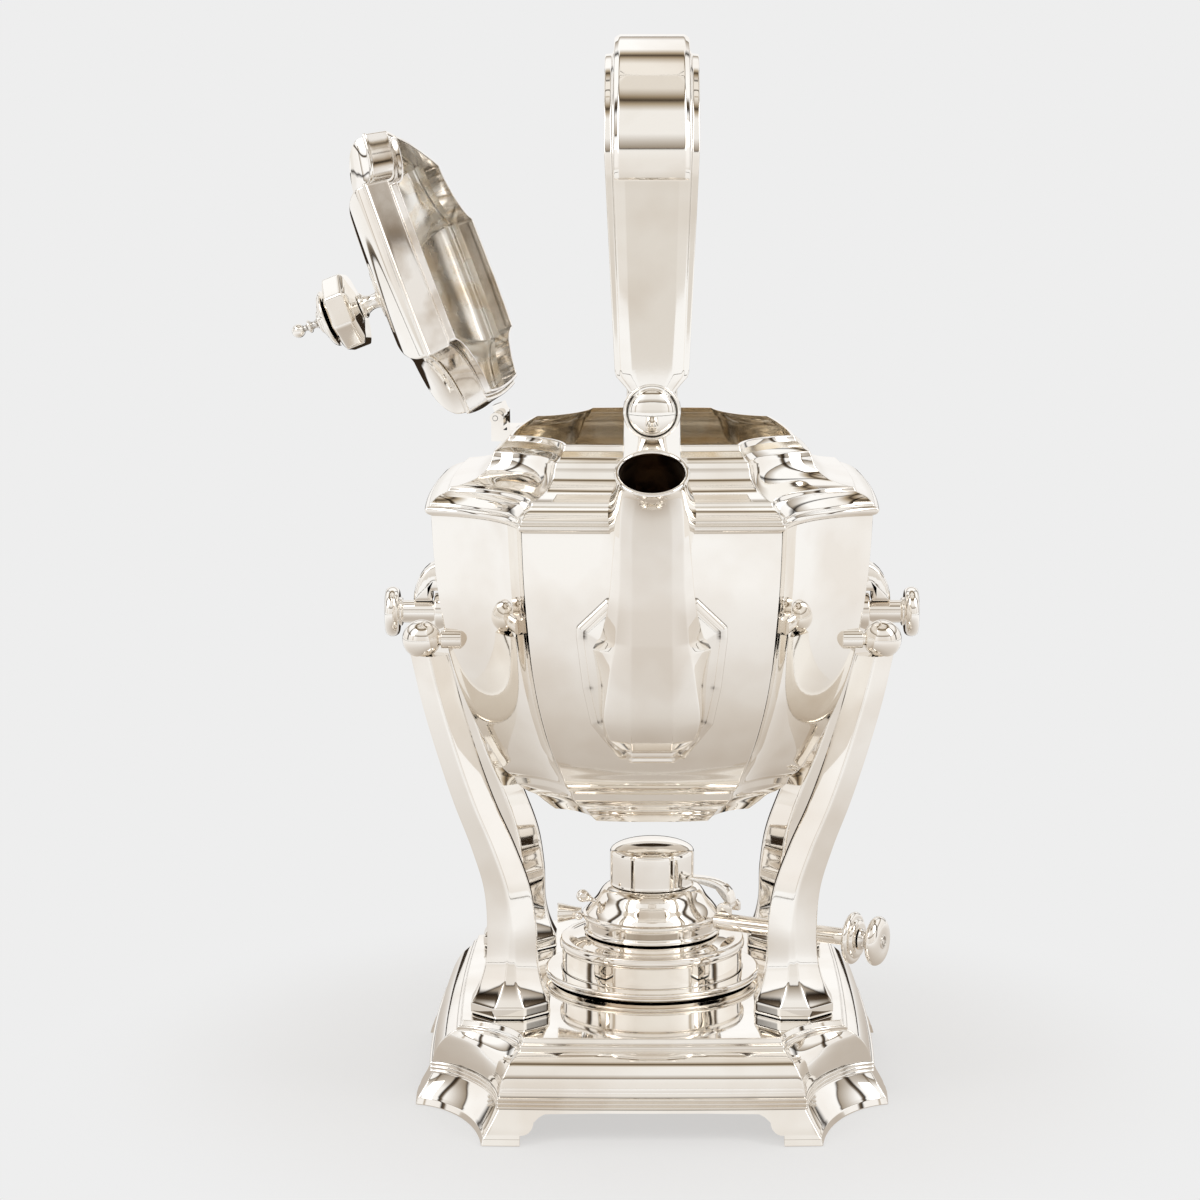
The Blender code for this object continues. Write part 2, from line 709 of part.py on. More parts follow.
def make_hinge(skin):
    """Three knuckles on one pin: the outer two are the kettle's, the middle one is the lid's."""
    point = hinge_point()
    along = hinge_direction()
    third = hinge_length / 3
    made = {}
    for name, spans in (("hinge_leaf_lower", (-1, 1)), ("hinge_leaf_upper", (0,))):
        leaf = None
        for span in spans:
            low = point + along * (span * third - third / 2 + running_gap / 2)
            piece = cylinder(name if leaf is None else name + "_knuckle", hinge_radius, third - running_gap,
                             group=None if leaf is None else cutters)
            place(piece, low, along)
            if leaf is None:
                leaf = piece
            else:
                join(leaf, piece)
        made[name] = leaf
    lower = made["hinge_leaf_lower"]
    tab = box("hinge_leaf_lower_tab",
              (-hinge_radius * 0.7, -hinge_length / 2, -hinge_rise - hinge_radius * 2.2),
              (hinge_offset + lid_overhang + hinge_radius, hinge_length / 2, -hinge_radius * 0.45),
              group=cutters)
    place(tab, point)
    tab.rotation_euler = (0, 0, -hinge_slant)
    clear = box("hinge_lid_room", (hinge_radius * 0.9, -hinge_length, -hinge_rise - seat_gap),
                (overrun * 3, hinge_length, overrun),
                group=cutters)
    place(clear, point)
    clear.rotation_euler = (0, 0, -hinge_slant)
    middle = cylinder("hinge_middle_room", hinge_radius + running_gap, third + running_gap * 1.5,
                      group=cutters)
    place(middle, point - along * (third + running_gap * 1.5) / 2, along)
    flap_low = -hinge_rise + seat_gap * 2
    room_half = third / 2 + running_gap * 0.75
    flap_room = box("hinge_flap_room", (-running_gap, -room_half, flap_low - running_gap),
                    (overrun * 3, room_half, overrun), group=cutters)
    place(flap_room, point)
    flap_room.rotation_euler = (0, 0, -hinge_slant)
    join(lower, tab)
    cut(lower, clear, middle, flap_room, skin)
    upper = made["hinge_leaf_upper"]
    flap = box("hinge_leaf_upper_tab", (0, -third / 2 + running_gap / 2, flap_low),
               (hinge_offset - seat_gap, third / 2 - running_gap / 2, hinge_radius * 0.4), group=cutters)
    place(flap, point)
    flap.rotation_euler = (0, 0, -hinge_slant)
    join(upper, flap)
    bore = cylinder("hinge_bore", hinge_pin_radius + running_gap / 2, hinge_length + overrun * 2,
                    group=cutters)
    place(bore, point - along * (hinge_length / 2 + overrun), along)
    cut(lower, bore)
    cut(upper, bore)
    pin = cylinder("hinge_pin", hinge_pin_radius, hinge_length)
    place(pin, point - along * hinge_length / 2, along)
    return lower, upper, pin


def lid_levels():
    rim_half = body_half_width - shoulder_inset
    base_z = body_top_z + shoulder_height + seat_gap
    width = rim_half + lid_overhang
    return [(width * (1 - inward), base_z + up * lid_height) for up, inward in lid_profile_shares]


def make_lid():
    levels = lid_levels()
    outer = [kettle_ring(width, height, rim_taper) for width, height in reversed(levels)]
    inner = [kettle_ring(levels[0][0] - lid_wall, levels[0][1], rim_taper)]
    for width, height in levels[2:]:
        inner.append(kettle_ring(width - lid_wall, height - lid_wall, rim_taper))
    dome = loft("lid_dome", outer + inner)
    seat_half = body_half_width - shoulder_inset - body_wall - bezel_gap
    band_half = levels[0][0] - lid_wall - seat_gap
    rows = [(band_half, bezel_height), (band_half, 0), (seat_half, 0), (seat_half, -bezel_depth),
            (seat_half - bezel_wall, -bezel_depth), (seat_half - bezel_wall, bezel_height)]
    low = levels[0][1]
    bezel = loft("lid_bezel", [kettle_ring(width, low + up, rim_taper) for width, up in rows], closed=True)
    top = levels[-1][1]
    small = levels[0][0] * lid_plate_share
    raised = loft("lid_plate", [
        kettle_ring(small, top + seat_gap), kettle_ring(small, top + lid_plate_height * 0.7),
        kettle_ring(small - lid_plate_height * 0.5, top + lid_plate_height)])
    stud_bore = cylinder("knob_bore", pivot_pin_radius + running_gap, lid_height, group=cutters)
    place(stud_bore, (0, 0, top - lid_height / 2))
    cut(dome, stud_bore)
    cut(raised, stud_bore)
    return dome, bezel, raised, top + lid_plate_height


def make_knob(foot_z, dome_top):
    """Spool, eight-sided nut and finial, threaded on a stud that a small nut holds inside the lid."""
    pieces = []
    z = foot_z + seat_gap
    waist = spool_radius * spool_waist_share
    stud_low = dome_top - lid_wall - fixing_nut_height - seat_gap * 3
    spool = turned("knob_spool", [
        (0, z + spool_height), (spool_radius * 0.82, z + spool_height),
        (spool_radius * 0.9, z + spool_height * 0.86),
        (waist, z + spool_height * 0.66), (waist, z + spool_height * 0.42),
        (spool_radius * 0.9, z + spool_height * 0.16),
        (spool_radius, z), (pivot_pin_radius, z), (pivot_pin_radius, stud_low), (0, stud_low)], steps=20)
    pieces.append(spool)
    z += spool_height + seat_gap
    rings = []
    land = nut_height * nut_land_share
    side_z = (nut_height - land) / 2
    for up, share in ((0, 0.42), (side_z * 0.35, 0.80), (side_z, 1.0), (side_z + land, 1.0),
                      (nut_height - side_z * 0.35, 0.80), (nut_height, 0.62)):
        rings.append([Vector((nut_across * share * math.cos(math.pi / 4 * (k + 0.5)),
                              nut_across * share * math.sin(math.pi / 4 * (k + 0.5)),
                              z + up)) for k in range(8)])
    pieces.append(loft("knob_nut", rings))
    z += nut_height + seat_gap
    neck = finial_ball_radius * 0.62
    ball_z = z + finial_height - finial_ball_radius
    profile = []
    for step in range(6):
        turn = math.pi * 0.84 * step / 5
        profile.append((finial_ball_radius * math.sin(turn), ball_z + finial_ball_radius * math.cos(turn)))
    profile += [(neck, ball_z - finial_ball_radius * 1.35),
                (finial_ball_radius, ball_z - finial_ball_radius * 1.75),
                (finial_ball_radius, ball_z - finial_ball_radius * 2.1),
                (neck * 1.15, ball_z - finial_ball_radius * 2.5),
                (finial_radius * 0.36, z + finial_height * 0.30),
                (finial_radius * 0.66, z + finial_height * 0.20),
                (finial_radius * 0.70, z + finial_height * 0.13), (finial_radius, z + finial_height * 0.08),
                (finial_radius, z), (0, z)]
    pieces.append(turned("knob_finial", profile, steps=20))
    nut = cylinder("knob_fixing_nut", fixing_nut_radius, fixing_nut_height, steps=6)
    place(nut, (0, 0, dome_top - lid_wall - fixing_nut_height - seat_gap * 2))
    bore = cylinder("fixing_nut_bore", pivot_pin_radius + running_gap, lid_height, group=cutters)
    place(bore, (0, 0, dome_top - lid_height))
    cut(nut, bore)
    pieces.append(nut)
    return pieces


def base_ring(level, shrink=0, drop=0):
    up, out, facet_share, side_share = level
    ratio = base_plan_ratio + (base_top_ratio - base_plan_ratio) * max(0, (up - 0.5) * 2)
    across = base_half_width * out - shrink
    along = base_half_width * out * ratio - shrink
    return plan_ring(across, along, base_half_width * out * facet_share - shrink * facet_share,
                     base_half_width * out * ratio * side_share - shrink * side_share,
                     up * base_height - drop, side_bow)


def arch_outline(half_low, half_high):
    """Opening between two bracket feet, scrolled at its upper corners."""
    side = [(half_low, -overrun), (half_low, foot_block_height),
            (half_low - (half_low - half_high) * 0.30, arch_height * 0.45),
            (half_low - (half_low - half_high) * 0.78, arch_height * 0.72), (half_high, arch_height * 0.97),
            (half_high * 0.5, arch_height)]
    return side + [(-across, up) for across, up in reversed(side)]


def make_base():
    base = loft("stand_base", [base_ring(level) for level in reversed(base_profile_shares)])
    inside = [base_ring(base_profile_shares[k], base_wall) for k in (14, 12, 9, 6)]
    below = [point - Vector((0, 0, overrun)) for point in inside[0]]
    under_top = base_ring(base_profile_shares[0], base_wall * 2, base_wall)
    cut(base, loft("base_hollow", [below, *inside[1:], under_top], group=cutters))
    low = base_profile_shares[-1]
    front_half = base_half_width * low[2] - foot_return
    side_half = base_half_width * base_plan_ratio * low[3] - foot_return
    depth = base_half_width * base_plan_ratio * 4
    for name, half, turn in (("base_arch_front", front_half, 0), ("base_arch_side", side_half, math.pi / 2)):
        stand = Matrix.Rotation(turn, 4, "Z") @ Matrix.Rotation(math.pi / 2, 4, "X")
        cut(base, plate(name, arch_outline(half, half - arch_scroll), depth, stand, group=cutters))
    for side_x in (-1, 1):
        for side_y in (-1, 1):
            hole = cylinder(f"base_hole_{side_x}_{side_y}", bolt_radius + running_gap, overrun * 3,
                            group=cutters)
            place(hole, (side_x * leg_foot_x, side_y * leg_y, base_height - overrun * 1.5))
            cut(base, hole)
    return base


def leg_ring(level, side):
    up, lean, wide_share, deep_share = level
    foot_z = base_height + seat_gap
    z = foot_z + up * (leg_top_z - foot_z)
    centre = leg_foot_x + lean * leg_lean
    half = leg_block_width * wide_share / 2
    deep = leg_block_depth * deep_share / 2
    blunt = leg_stem_corner_share + leg_foot_corner_share * max(0, 1 - up / 0.3)
    flat = leg_stem_flat_share
    if up < leg_block_level_share:
        blunt = flat = leg_block_corner_share
    row = [(half * blunt, -deep), (half, -deep * flat), (half, deep * flat), (half * blunt, deep),
           (-half * blunt, deep), (-half, deep * flat), (-half, -deep * flat), (-half * blunt, -deep)]
    return [Vector((side * (centre + across), along, z)) for across, along in row]


def make_leg(side, end):
    """end is -1 for a front leg with its ball knuckle, and 1 for a rear leg with its pin eye."""
    name = "leg_" + ("rear_" if end > 0 else "front_") + ("right" if side > 0 else "left")
    leg = loft(name, [leg_ring(level, side) for level in leg_line_shares])
    if end < 0:
        head = ball(name + "_ball", knuckle_radius, group=cutters)
        place(head, (side * knuckle_x, 0, knuckle_z))
        join(leg, head)
        bore = cylinder(name + "_bore", trunnion_radius + running_gap, trunnion_length, group=cutters)
        place(bore, (side * (knuckle_x - knuckle_radius - overrun * 0.7), 0, knuckle_z), (side, 0, 0))
    else:
        eye_x = leg_top_x - eye_width / 2
        head = cylinder(name + "_eye", eye_radius, eye_width, group=cutters, steps=20)
        place(head, (side * eye_x, 0, pin_z), (side, 0, 0))
        trim = box(name + "_trim", (-overrun, -leg_block_depth, pin_z - overrun * 0.2),
                   (base_half_width * 2, leg_block_depth, pin_z + overrun * 2), group=cutters)
        trim.scale = (side, 1, 1)
        cut(leg, trim)
        join(leg, head)
        bore = cylinder(name + "_bore", pin_radius + running_gap, overrun * 8, group=cutters, steps=20)
        place(bore, (side * (eye_x - overrun * 4), 0, pin_z), (side, 0, 0))
    cut(leg, bore)
    screw_hole = cylinder(name + "_screw_hole", bolt_radius + running_gap, bolt_grip + seat_gap + overrun,
                          group=cutters)
    place(screw_hole, (side * leg_foot_x, 0, base_height - overrun))
    cut(leg, screw_hole)
    for item in [leg] + [step.object for step in leg.modifiers]:
        item.location.y += end * leg_y
    return leg


def make_leg_bolt(side, end):
    name = "leg_bolt_" + ("rear_" if end > 0 else "front_") + ("right" if side > 0 else "left")
    low = -base_wall - seat_gap
    bolt = turned(name, [(0, bolt_grip), (bolt_radius, bolt_grip), (bolt_radius, low),
                         (bolt_head_radius, low),
                         (bolt_head_radius, low - bolt_head_height * 0.7),
                         (bolt_head_radius * 0.8, low - bolt_head_height),
                         (0, low - bolt_head_height)], steps=small_steps)
    return place(bolt, (side * leg_foot_x, end * leg_y, base_height))


def make_lock_pin(side):
    name = "lock_pin_" + ("right" if side > 0 else "left")
    inner = leg_top_x - eye_width / 2 + seat_gap
    length = pin_head_x - pin_head_thickness - inner
    t = pin_head_thickness
    pin = turned(name, [(0, t), (pin_head_radius * 0.78, t), (pin_head_radius * 0.94, t * 0.84),
                        (pin_head_radius, t * 0.5),
                        (pin_head_radius * 0.94, t * 0.16), (pin_head_radius * 0.80, 0), (pin_radius, 0),
                        (pin_radius, -length + t * 0.15), (pin_radius * 0.8, -length), (0, -length)],
                        steps=24)
    return place(pin, (side * (pin_head_x - t), leg_y, pin_z), (side, 0, 0))


def lamp_heights():
    tray_low = base_height + seat_gap
    drum_low = tray_low + tray_height - tray_lip * 0.4
    drum_top = drum_low + drum_height
    neck_z = drum_top + shoulder_rise
    collar_low = neck_z + seat_gap
    collar_top = collar_low + collar_height
    flange_low = collar_top + seat_gap
    return tray_low, drum_low, drum_top, neck_z, collar_low, collar_top, flange_low


def make_lamp():
    tray_low, drum_low, drum_top, neck_z, collar_low, collar_top, flange_low = lamp_heights()
    pieces = []
    lip_in = drum_radius + seat_gap
    floor = drum_low - seat_gap
    top = tray_low + tray_height
    pieces.append(turned("lamp_tray", [
        (lip_in, top), (tray_radius - tray_lip * 0.16, top), (tray_radius, top - tray_height * 0.33),
        (tray_radius - tray_lip * 0.08, top - tray_height * 0.52),
        (tray_radius - tray_lip * 0.02, top - tray_height * 0.72),
        (tray_radius - tray_lip * 0.22, tray_low), (neck_radius, tray_low), (neck_radius, floor),
        (lip_in, floor)], closed=True))
    pieces.append(make_reservoir(drum_radius, drum_wall, drum_low, drum_top, neck_z))
    c = collar_radius
    high = collar_top
    tall = collar_height
    pieces.append(turned("burner_collar", [
        (tube_radius + running_gap * 3, high), (collar_top_radius - collar_wall, high),
        (collar_top_radius, high - tall * 0.05),
        (c * 0.955, high - tall * 0.56), (c, high - tall * 0.60), (c, high - tall * 0.69),
        (c * 0.965, high - tall * 0.73),
        (c * 0.955, high - tall * 0.93), (c * 0.985, high - tall * 0.95), (c * 0.985, collar_low),
        (neck_radius + collar_wall, collar_low), (neck_radius + collar_wall, collar_low + collar_wall),
        (c * 0.90, collar_low + collar_wall), (c * 0.90, high - tall * 0.62),
        (collar_top_radius - collar_wall * 1.6, high - collar_wall),
        (tube_radius + running_gap * 3, high - collar_wall)], closed=True))
    tube_top = flange_low + tube_rise
    tube_low = flange_low - tube_drop
    flange_high = flange_low + collar_wall * 0.6
    pieces.append(turned("wick_tube", [
        (tube_radius - tube_wall, tube_top), (tube_radius, tube_top), (tube_radius, flange_high),
        (tube_flange_radius, flange_high), (tube_flange_radius, flange_low), (tube_radius, flange_low),
        (tube_radius, tube_low), (tube_radius - tube_wall, tube_low)], closed=True, steps=24,
        surface="lamp_brass"))
    wick_radius = tube_radius - tube_wall - wick_gap
    wick_low = drum_low + drum_wall + overrun * 0.5
    wick = cylinder("wick", wick_radius, tube_top + wick_show - wick_low, surface="cotton_wick")
    pieces.append(place(wick, (0, 0, wick_low)))
    return pieces


def make_reservoir(radius, wall, low, high, neck_z):
    """Hollow drum: its outside and its inside are one profile that turns round the neck's edge."""
    outside = [(neck_radius, neck_z), (neck_radius + neck_lip, neck_z),
               (radius * 0.86, neck_z - shoulder_rise * 0.42),
               (radius - drum_lip, high), (radius + drum_lip, high - drum_height * 0.09),
               (radius + drum_lip, high - drum_height * 0.19), (radius, high - drum_height * 0.25),
               (radius, low), (0, low)]
    inside = [(0, low + wall), (radius - wall, low + wall), (radius - wall, high - drum_height * 0.25),
              (radius * 0.84, neck_z - shoulder_rise * 0.42 - wall), (neck_radius, neck_z - wall)]
    return turned("lamp_reservoir", inside + outside)


def make_snuffer():
    flange_low = lamp_heights()[-1]
    low = flange_low + collar_wall * 0.35
    side = low + cap_height
    steps = 5
    dome = []
    inner = []
    for step in range(steps + 1):
        turn = math.pi / 2 * step / steps
        dome.append((cap_radius * math.sin(turn), side + cap_dome * math.cos(turn)))
        inner.append(((cap_radius - cap_wall) * math.sin(turn), side - cap_wall + cap_dome * math.cos(turn)))
    cap = turned("snuffer_cap", dome + [(cap_radius, low), (cap_radius - cap_wall, low)] + inner[::-1])
    return cap, low


def regulator_direction():
    return Vector((math.cos(regulator_angle), math.sin(regulator_angle), 0))


def make_lever(cap_low):
    """Curved arm from the cap down to a barrel that turns between two ears on the regulator tube."""
    ahead = regulator_direction()
    across = Vector((-ahead.y, ahead.x, 0))
    tube_z = regulator_z()
    pivot = ahead * lever_reach
    pivot.z = tube_z + regulator_radius + seat_gap * 2 + lever_barrel_radius + lever_pin_radius
    start = ahead * (cap_radius + seat_gap)
    start.z = cap_low + cap_height * 0.30
    stand = Matrix((ahead, (0, 0, 1), -across)).transposed().to_4x4()
    first = Vector((cap_radius + seat_gap, start.z))
    last = Vector((lever_reach + lever_barrel_radius * 0.6, pivot.z))
    mid = Vector((last.x + lever_barrel_radius * 0.5, first.y + lever_thickness))
    top = []
    under = []
    steps = 6
    for step in range(steps + 1):
        share = step / steps
        at = first * (1 - share) ** 2 + mid * (2 * share * (1 - share)) + last * share ** 2
        run = (mid - first) * (1 - share) + (last - mid) * share
        run.normalize()
        normal = Vector((-run.y, run.x))
        top.append(at + normal * lever_thickness / 2)
        under.append(at - normal * lever_thickness / 2)
    top[0].x = first.x
    under[0].x = first.x
    lever = plate("snuffer_lever", [tuple(p) for p in top + under[::-1]], lever_width, stand)
    barrel = cylinder("snuffer_lever_barrel", lever_barrel_radius, lever_width, group=cutters)
    place(barrel, pivot - across * lever_width / 2, across)
    join(lever, barrel)
    bore = cylinder("snuffer_lever_bore", lever_pin_radius + running_gap / 2, lever_width * 4,
                    group=cutters, steps=10)
    place(bore, pivot - across * lever_width * 2, across)
    cut(lever, bore)
    wide = lever_width / 2 + running_gap + lever_ear
    block = box("lever_bracket", (-lever_block_length / 2, -wide, -lever_barrel_radius * 1.2 - seat_gap * 2),
                (lever_block_length / 2, wide, lever_barrel_radius * 0.8))
    place(block, pivot)
    block.rotation_euler = (0, 0, regulator_angle)
    slot = box("lever_bracket_slot", (-lever_block_length, -lever_width / 2 - running_gap,
                                      -lever_barrel_radius - seat_gap),
               (lever_block_length, lever_width / 2 + running_gap, lever_barrel_radius * 2), group=cutters)
    place(slot, pivot)
    slot.rotation_euler = (0, 0, regulator_angle)
    cut(block, slot, bore)
    pin = cylinder("snuffer_pin", lever_pin_radius, wide * 2, steps=10)
    place(pin, pivot - across * wide, across)
    return lever, block, pin, pivot, across


def regulator_z():
    collar_low = lamp_heights()[4]
    return collar_low + collar_height * regulator_z_share


def make_regulator():
    ahead = regulator_direction()
    z = regulator_z()
    start = collar_radius + seat_gap
    length = regulator_reach - start
    tube = cylinder("regulator_tube", regulator_radius, length, steps=20)
    place(tube, ahead * start + Vector((0, 0, z)), ahead)
    bore = cylinder("regulator_bore", knob_shaft_radius + running_gap, knob_shaft_length + overrun,
                    group=cutters, steps=12)
    place(bore, ahead * (regulator_reach - knob_shaft_length - seat_gap) + Vector((0, 0, z)), ahead)
    cut(tube, bore)
    t = shield_disc_thickness
    r = shield_disc_radius
    disc = turned("regulator_disc", [
        (knob_shaft_radius + running_gap, t), (r * 0.62, t), (r * 0.74, t * 0.86), (r * 0.78, t * 0.62),
        (r * 0.94, t * 0.60),
        (r, t * 0.36), (r * 0.95, t * 0.12), (r * 0.78, 0), (knob_shaft_radius + running_gap, 0)],
        closed=True, steps=24)
    place(disc, ahead * (regulator_reach + seat_gap) + Vector((0, 0, z)), ahead)
    t = knob_disc_thickness
    r = knob_disc_radius
    n = knob_neck_length
    knob = turned("regulator_knob", [
        (0, n + t), (r * 0.22, n + t), (r * 0.24, n + t * 0.92), (r * 0.80, n + t * 0.86),
        (r * 0.95, n + t * 0.66),
        (r, n + t * 0.42), (r * 0.94, n + t * 0.16), (r * 0.80, n), (knob_neck_radius, n),
        (knob_neck_radius, 0),
        (knob_shaft_radius, 0), (knob_shaft_radius, -knob_shaft_length - shield_disc_thickness + overrun),
        (0, -knob_shaft_length - shield_disc_thickness + overrun)],
        steps=24)
    place(knob, ahead * (regulator_reach + shield_disc_thickness + seat_gap * 2) + Vector((0, 0, z)), ahead)
    return tube, disc, knob


def make_filler():
    """Short flared tube with its ball plug at the left, and the stud on the collar's cone."""
    z = regulator_z()
    start = collar_radius + seat_gap
    mouth = filler_mouth_radius
    tube = turned("filler_tube", [
        (filler_radius * 0.55, filler_length), (mouth * 0.94, filler_length), (mouth, filler_length * 0.9),
        (filler_radius * 1.1, filler_length * 0.35), (filler_radius, 0), (filler_radius * 0.55, 0)],
        closed=True, steps=small_steps)
    place(tube, (-start, 0, z), (-1, 0, 0))
    plug = ball("filler_plug", filler_plug_radius, segments=12, rings=8)
    place(plug, (-start - filler_radius * 0.4, -filler_radius - filler_plug_radius - seat_gap * 2, z))
    collar_low = lamp_heights()[4]
    slope_z = collar_low + collar_height * 0.70
    slope_radius = collar_top_radius + (collar_radius - collar_top_radius) * 0.43
    level = Vector((math.cos(stud_angle), math.sin(stud_angle), 0))
    out = (level + Vector((0, 0, 0.5))).normalized()
    stud_start = level * slope_radius + Vector((0, 0, slope_z))
    profile = [(stud_radius * out, stud_stem_length + stud_radius * up)
               for out, up in ((0, 2), (0.7, 1.7), (1, 1), (0.7, 0.3))]
    profile += [(stud_stem_radius, stud_stem_length), (stud_stem_radius, 0), (0, 0)]
    stud = turned("collar_stud", profile, steps=12)
    place(stud, stud_start + out * seat_gap * 2, out)
    return tube, plug, stud


def centre_on_floor(root):
    """Move the whole part so that its box stands centred on the origin."""
    bpy.context.view_layer.update()
    graph = bpy.context.evaluated_depsgraph_get()
    low = [math.inf] * 3
    high = [-math.inf] * 3
    for item in parts.objects:
        if item.type != "MESH":
            continue
        seen = item.evaluated_get(graph)
        mesh = seen.to_mesh()
        for vert in mesh.vertices:
            at = seen.matrix_world @ vert.co
            for k in range(3):
                low[k] = min(low[k], at[k])
                high[k] = max(high[k], at[k])
        seen.to_mesh_clear()
    root.location = (-(low[0] + high[0]) / 2, -(low[1] + high[1]) / 2, -low[2])


def build():
    global parts, cutters
    clear_scene()
    parts = bpy.data.collections.new(model_name)
    cutters = bpy.data.collections.new("cutters")
    for group in (parts, cutters):
        bpy.context.scene.collection.children.link(group)
    silver["polished_silver"] = make_material("polished_silver", (0.86, 0.83, 0.78), 0.08, 1.0)
    silver["lamp_brass"] = make_material("lamp_brass", (0.72, 0.55, 0.28), 0.25, 1.0)
    silver["cotton_wick"] = make_material("cotton_wick", (0.82, 0.78, 0.68), 0.9, 0.0)

    skin = make_skin("body_skin", seat_gap)
    skin_proud = make_skin("body_skin_proud", seat_gap + shield_relief)
    knuckle_bore = trunnion_length - overrun * 0.7 - knuckle_radius

    stand = [make_base()]
    for side in (-1, 1):
        for end in (-1, 1):
            stand.append(make_leg(side, end))
            stand.append(make_leg_bolt(side, end))
    stand += make_lamp()
    stand += list(make_filler())
    tube, disc, regulator_knob = make_regulator()
    stand += [tube, disc]
    cap, cap_low = make_snuffer()
    lever, bracket, snuffer_pin, snuffer_pivot, snuffer_axis = make_lever(cap_low)
    stand += [bracket, snuffer_pin]

    body = make_kettle_body()
    spout, spout_hole = make_spout(skin, skin_proud)
    cut(body, spout_hole)
    kettle = [body, spout]
    for side in (-1, 1):
        kettle.append(make_trunnion(side, skin, knuckle_bore))
        kettle.append(make_rest_lug(side, skin))
        kettle.append(make_post(side, skin))
        kettle.append(make_pivot_bolt(side))
    leaf_lower, leaf_upper, hinge_pin = make_hinge(skin)
    kettle += [leaf_lower, hinge_pin]
    dome, bezel, raised, plate_top = make_lid()
    knob = make_knob(plate_top, lid_levels()[-1][1])
    handle = [make_handle(), make_grip()]

    root = axis_empty("stand_centre", (0, 0, 0))
    tilt_axis = axis_empty("kettle_tilt_axis", (0, -leg_y, knuckle_z), root)
    lid_axis = axis_empty("lid_hinge_axis", hinge_point(), tilt_axis)
    handle_axis = axis_empty("handle_axis", (0, 0, pivot_z), tilt_axis)
    lift_axis = axis_empty("snuffer_axis", snuffer_pivot, root)
    turn_axis = axis_empty("regulator_axis", regulator_knob.location, root)
    groups = ((root, stand), (tilt_axis, kettle), (lid_axis, [dome, bezel, raised, leaf_upper, *knob]),
              (handle_axis, handle), (lift_axis, [cap, lever]), (turn_axis, [regulator_knob]),
              (root, [make_lock_pin(side) for side in (-1, 1)]))
    for axis, items in groups:
        for item in items:
            hang(item, axis)
            for step in item.modifiers:
                if step.type == "BOOLEAN" and step.object.parent is None:
                    hang(step.object, axis)
                    for deeper in step.object.modifiers:
                        if deeper.type == "BOOLEAN" and deeper.object.parent is None:
                            hang(deeper.object, axis)
    lid_axis.rotation_mode = "QUATERNION"
    lid_axis.rotation_quaternion = Matrix.Rotation(-lid_open_angle, 3, hinge_direction()).to_quaternion()
    centre_on_floor(root)
    bpy.context.view_layer.update()


build()
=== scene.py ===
import json
import math
import bpy
import numpy as np
from mathutils import Matrix, Vector


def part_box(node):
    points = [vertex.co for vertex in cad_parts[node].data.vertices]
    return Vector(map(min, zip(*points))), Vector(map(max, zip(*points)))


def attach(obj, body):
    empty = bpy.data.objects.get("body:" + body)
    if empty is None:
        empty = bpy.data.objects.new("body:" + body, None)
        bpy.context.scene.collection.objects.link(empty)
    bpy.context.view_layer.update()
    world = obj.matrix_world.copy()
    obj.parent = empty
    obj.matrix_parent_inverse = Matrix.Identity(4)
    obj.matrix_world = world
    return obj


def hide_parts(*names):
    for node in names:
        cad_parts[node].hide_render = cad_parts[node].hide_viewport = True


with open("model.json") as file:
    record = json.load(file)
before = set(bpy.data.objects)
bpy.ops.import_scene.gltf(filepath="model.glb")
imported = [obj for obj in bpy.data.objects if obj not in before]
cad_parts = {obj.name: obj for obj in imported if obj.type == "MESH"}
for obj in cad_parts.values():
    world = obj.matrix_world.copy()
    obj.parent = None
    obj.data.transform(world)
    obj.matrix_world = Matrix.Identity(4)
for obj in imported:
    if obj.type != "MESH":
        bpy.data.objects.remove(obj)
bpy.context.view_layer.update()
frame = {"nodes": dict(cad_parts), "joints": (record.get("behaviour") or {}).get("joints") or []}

mm = 0.001
parts = frame["nodes"]
joints = {joint["name"]: joint for joint in frame["joints"]}
baseLow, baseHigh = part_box("stand_base")
standCentre = np.array([(baseLow.x + baseHigh.x) / 2, (baseLow.y + baseHigh.y) / 2, 0])


# colours and nodes
def linear(hexColour):
    channels = [int(hexColour[at:at + 2], 16) / 255 for at in (1, 3, 5)]
    return (*[c / 12.92 if c <= 0.04045 else ((c + 0.055) / 1.055) ** 2.4 for c in channels], 1)


def addNode(tree, kind, settings=None, links=None):
    node = tree.nodes.new(kind)
    for key, value in (settings or {}).items():
        if key in node.inputs:
            node.inputs[key].default_value = value
        else:
            setattr(node, key, value)
    for key, source in (links or {}).items():
        tree.links.new(source, node.inputs[key])
    return node


def setRamp(ramp, stops):
    elements = ramp.color_ramp.elements
    while len(elements) < len(stops):
        elements.new(0.5)
    for element, (position, colour) in zip(elements, stops):
        element.position = position
        element.color = colour


def mixColours(tree, blend, first, share=None):
    # sockets 6 and 7 are the two colours of a mix node, and output 2 is its result
    node = tree.nodes.new("ShaderNodeMix")
    node.data_type = "RGBA"
    node.blend_type = blend
    node.inputs[0].default_value = 1
    tree.links.new(first, node.inputs[6])
    if share is not None:
        tree.links.new(share, node.inputs[0])
    return node


def newMaterial(name):
    material = bpy.data.materials.new(name)
    material.use_nodes = True
    tree = material.node_tree
    return material, tree, tree.nodes["Principled BSDF"]


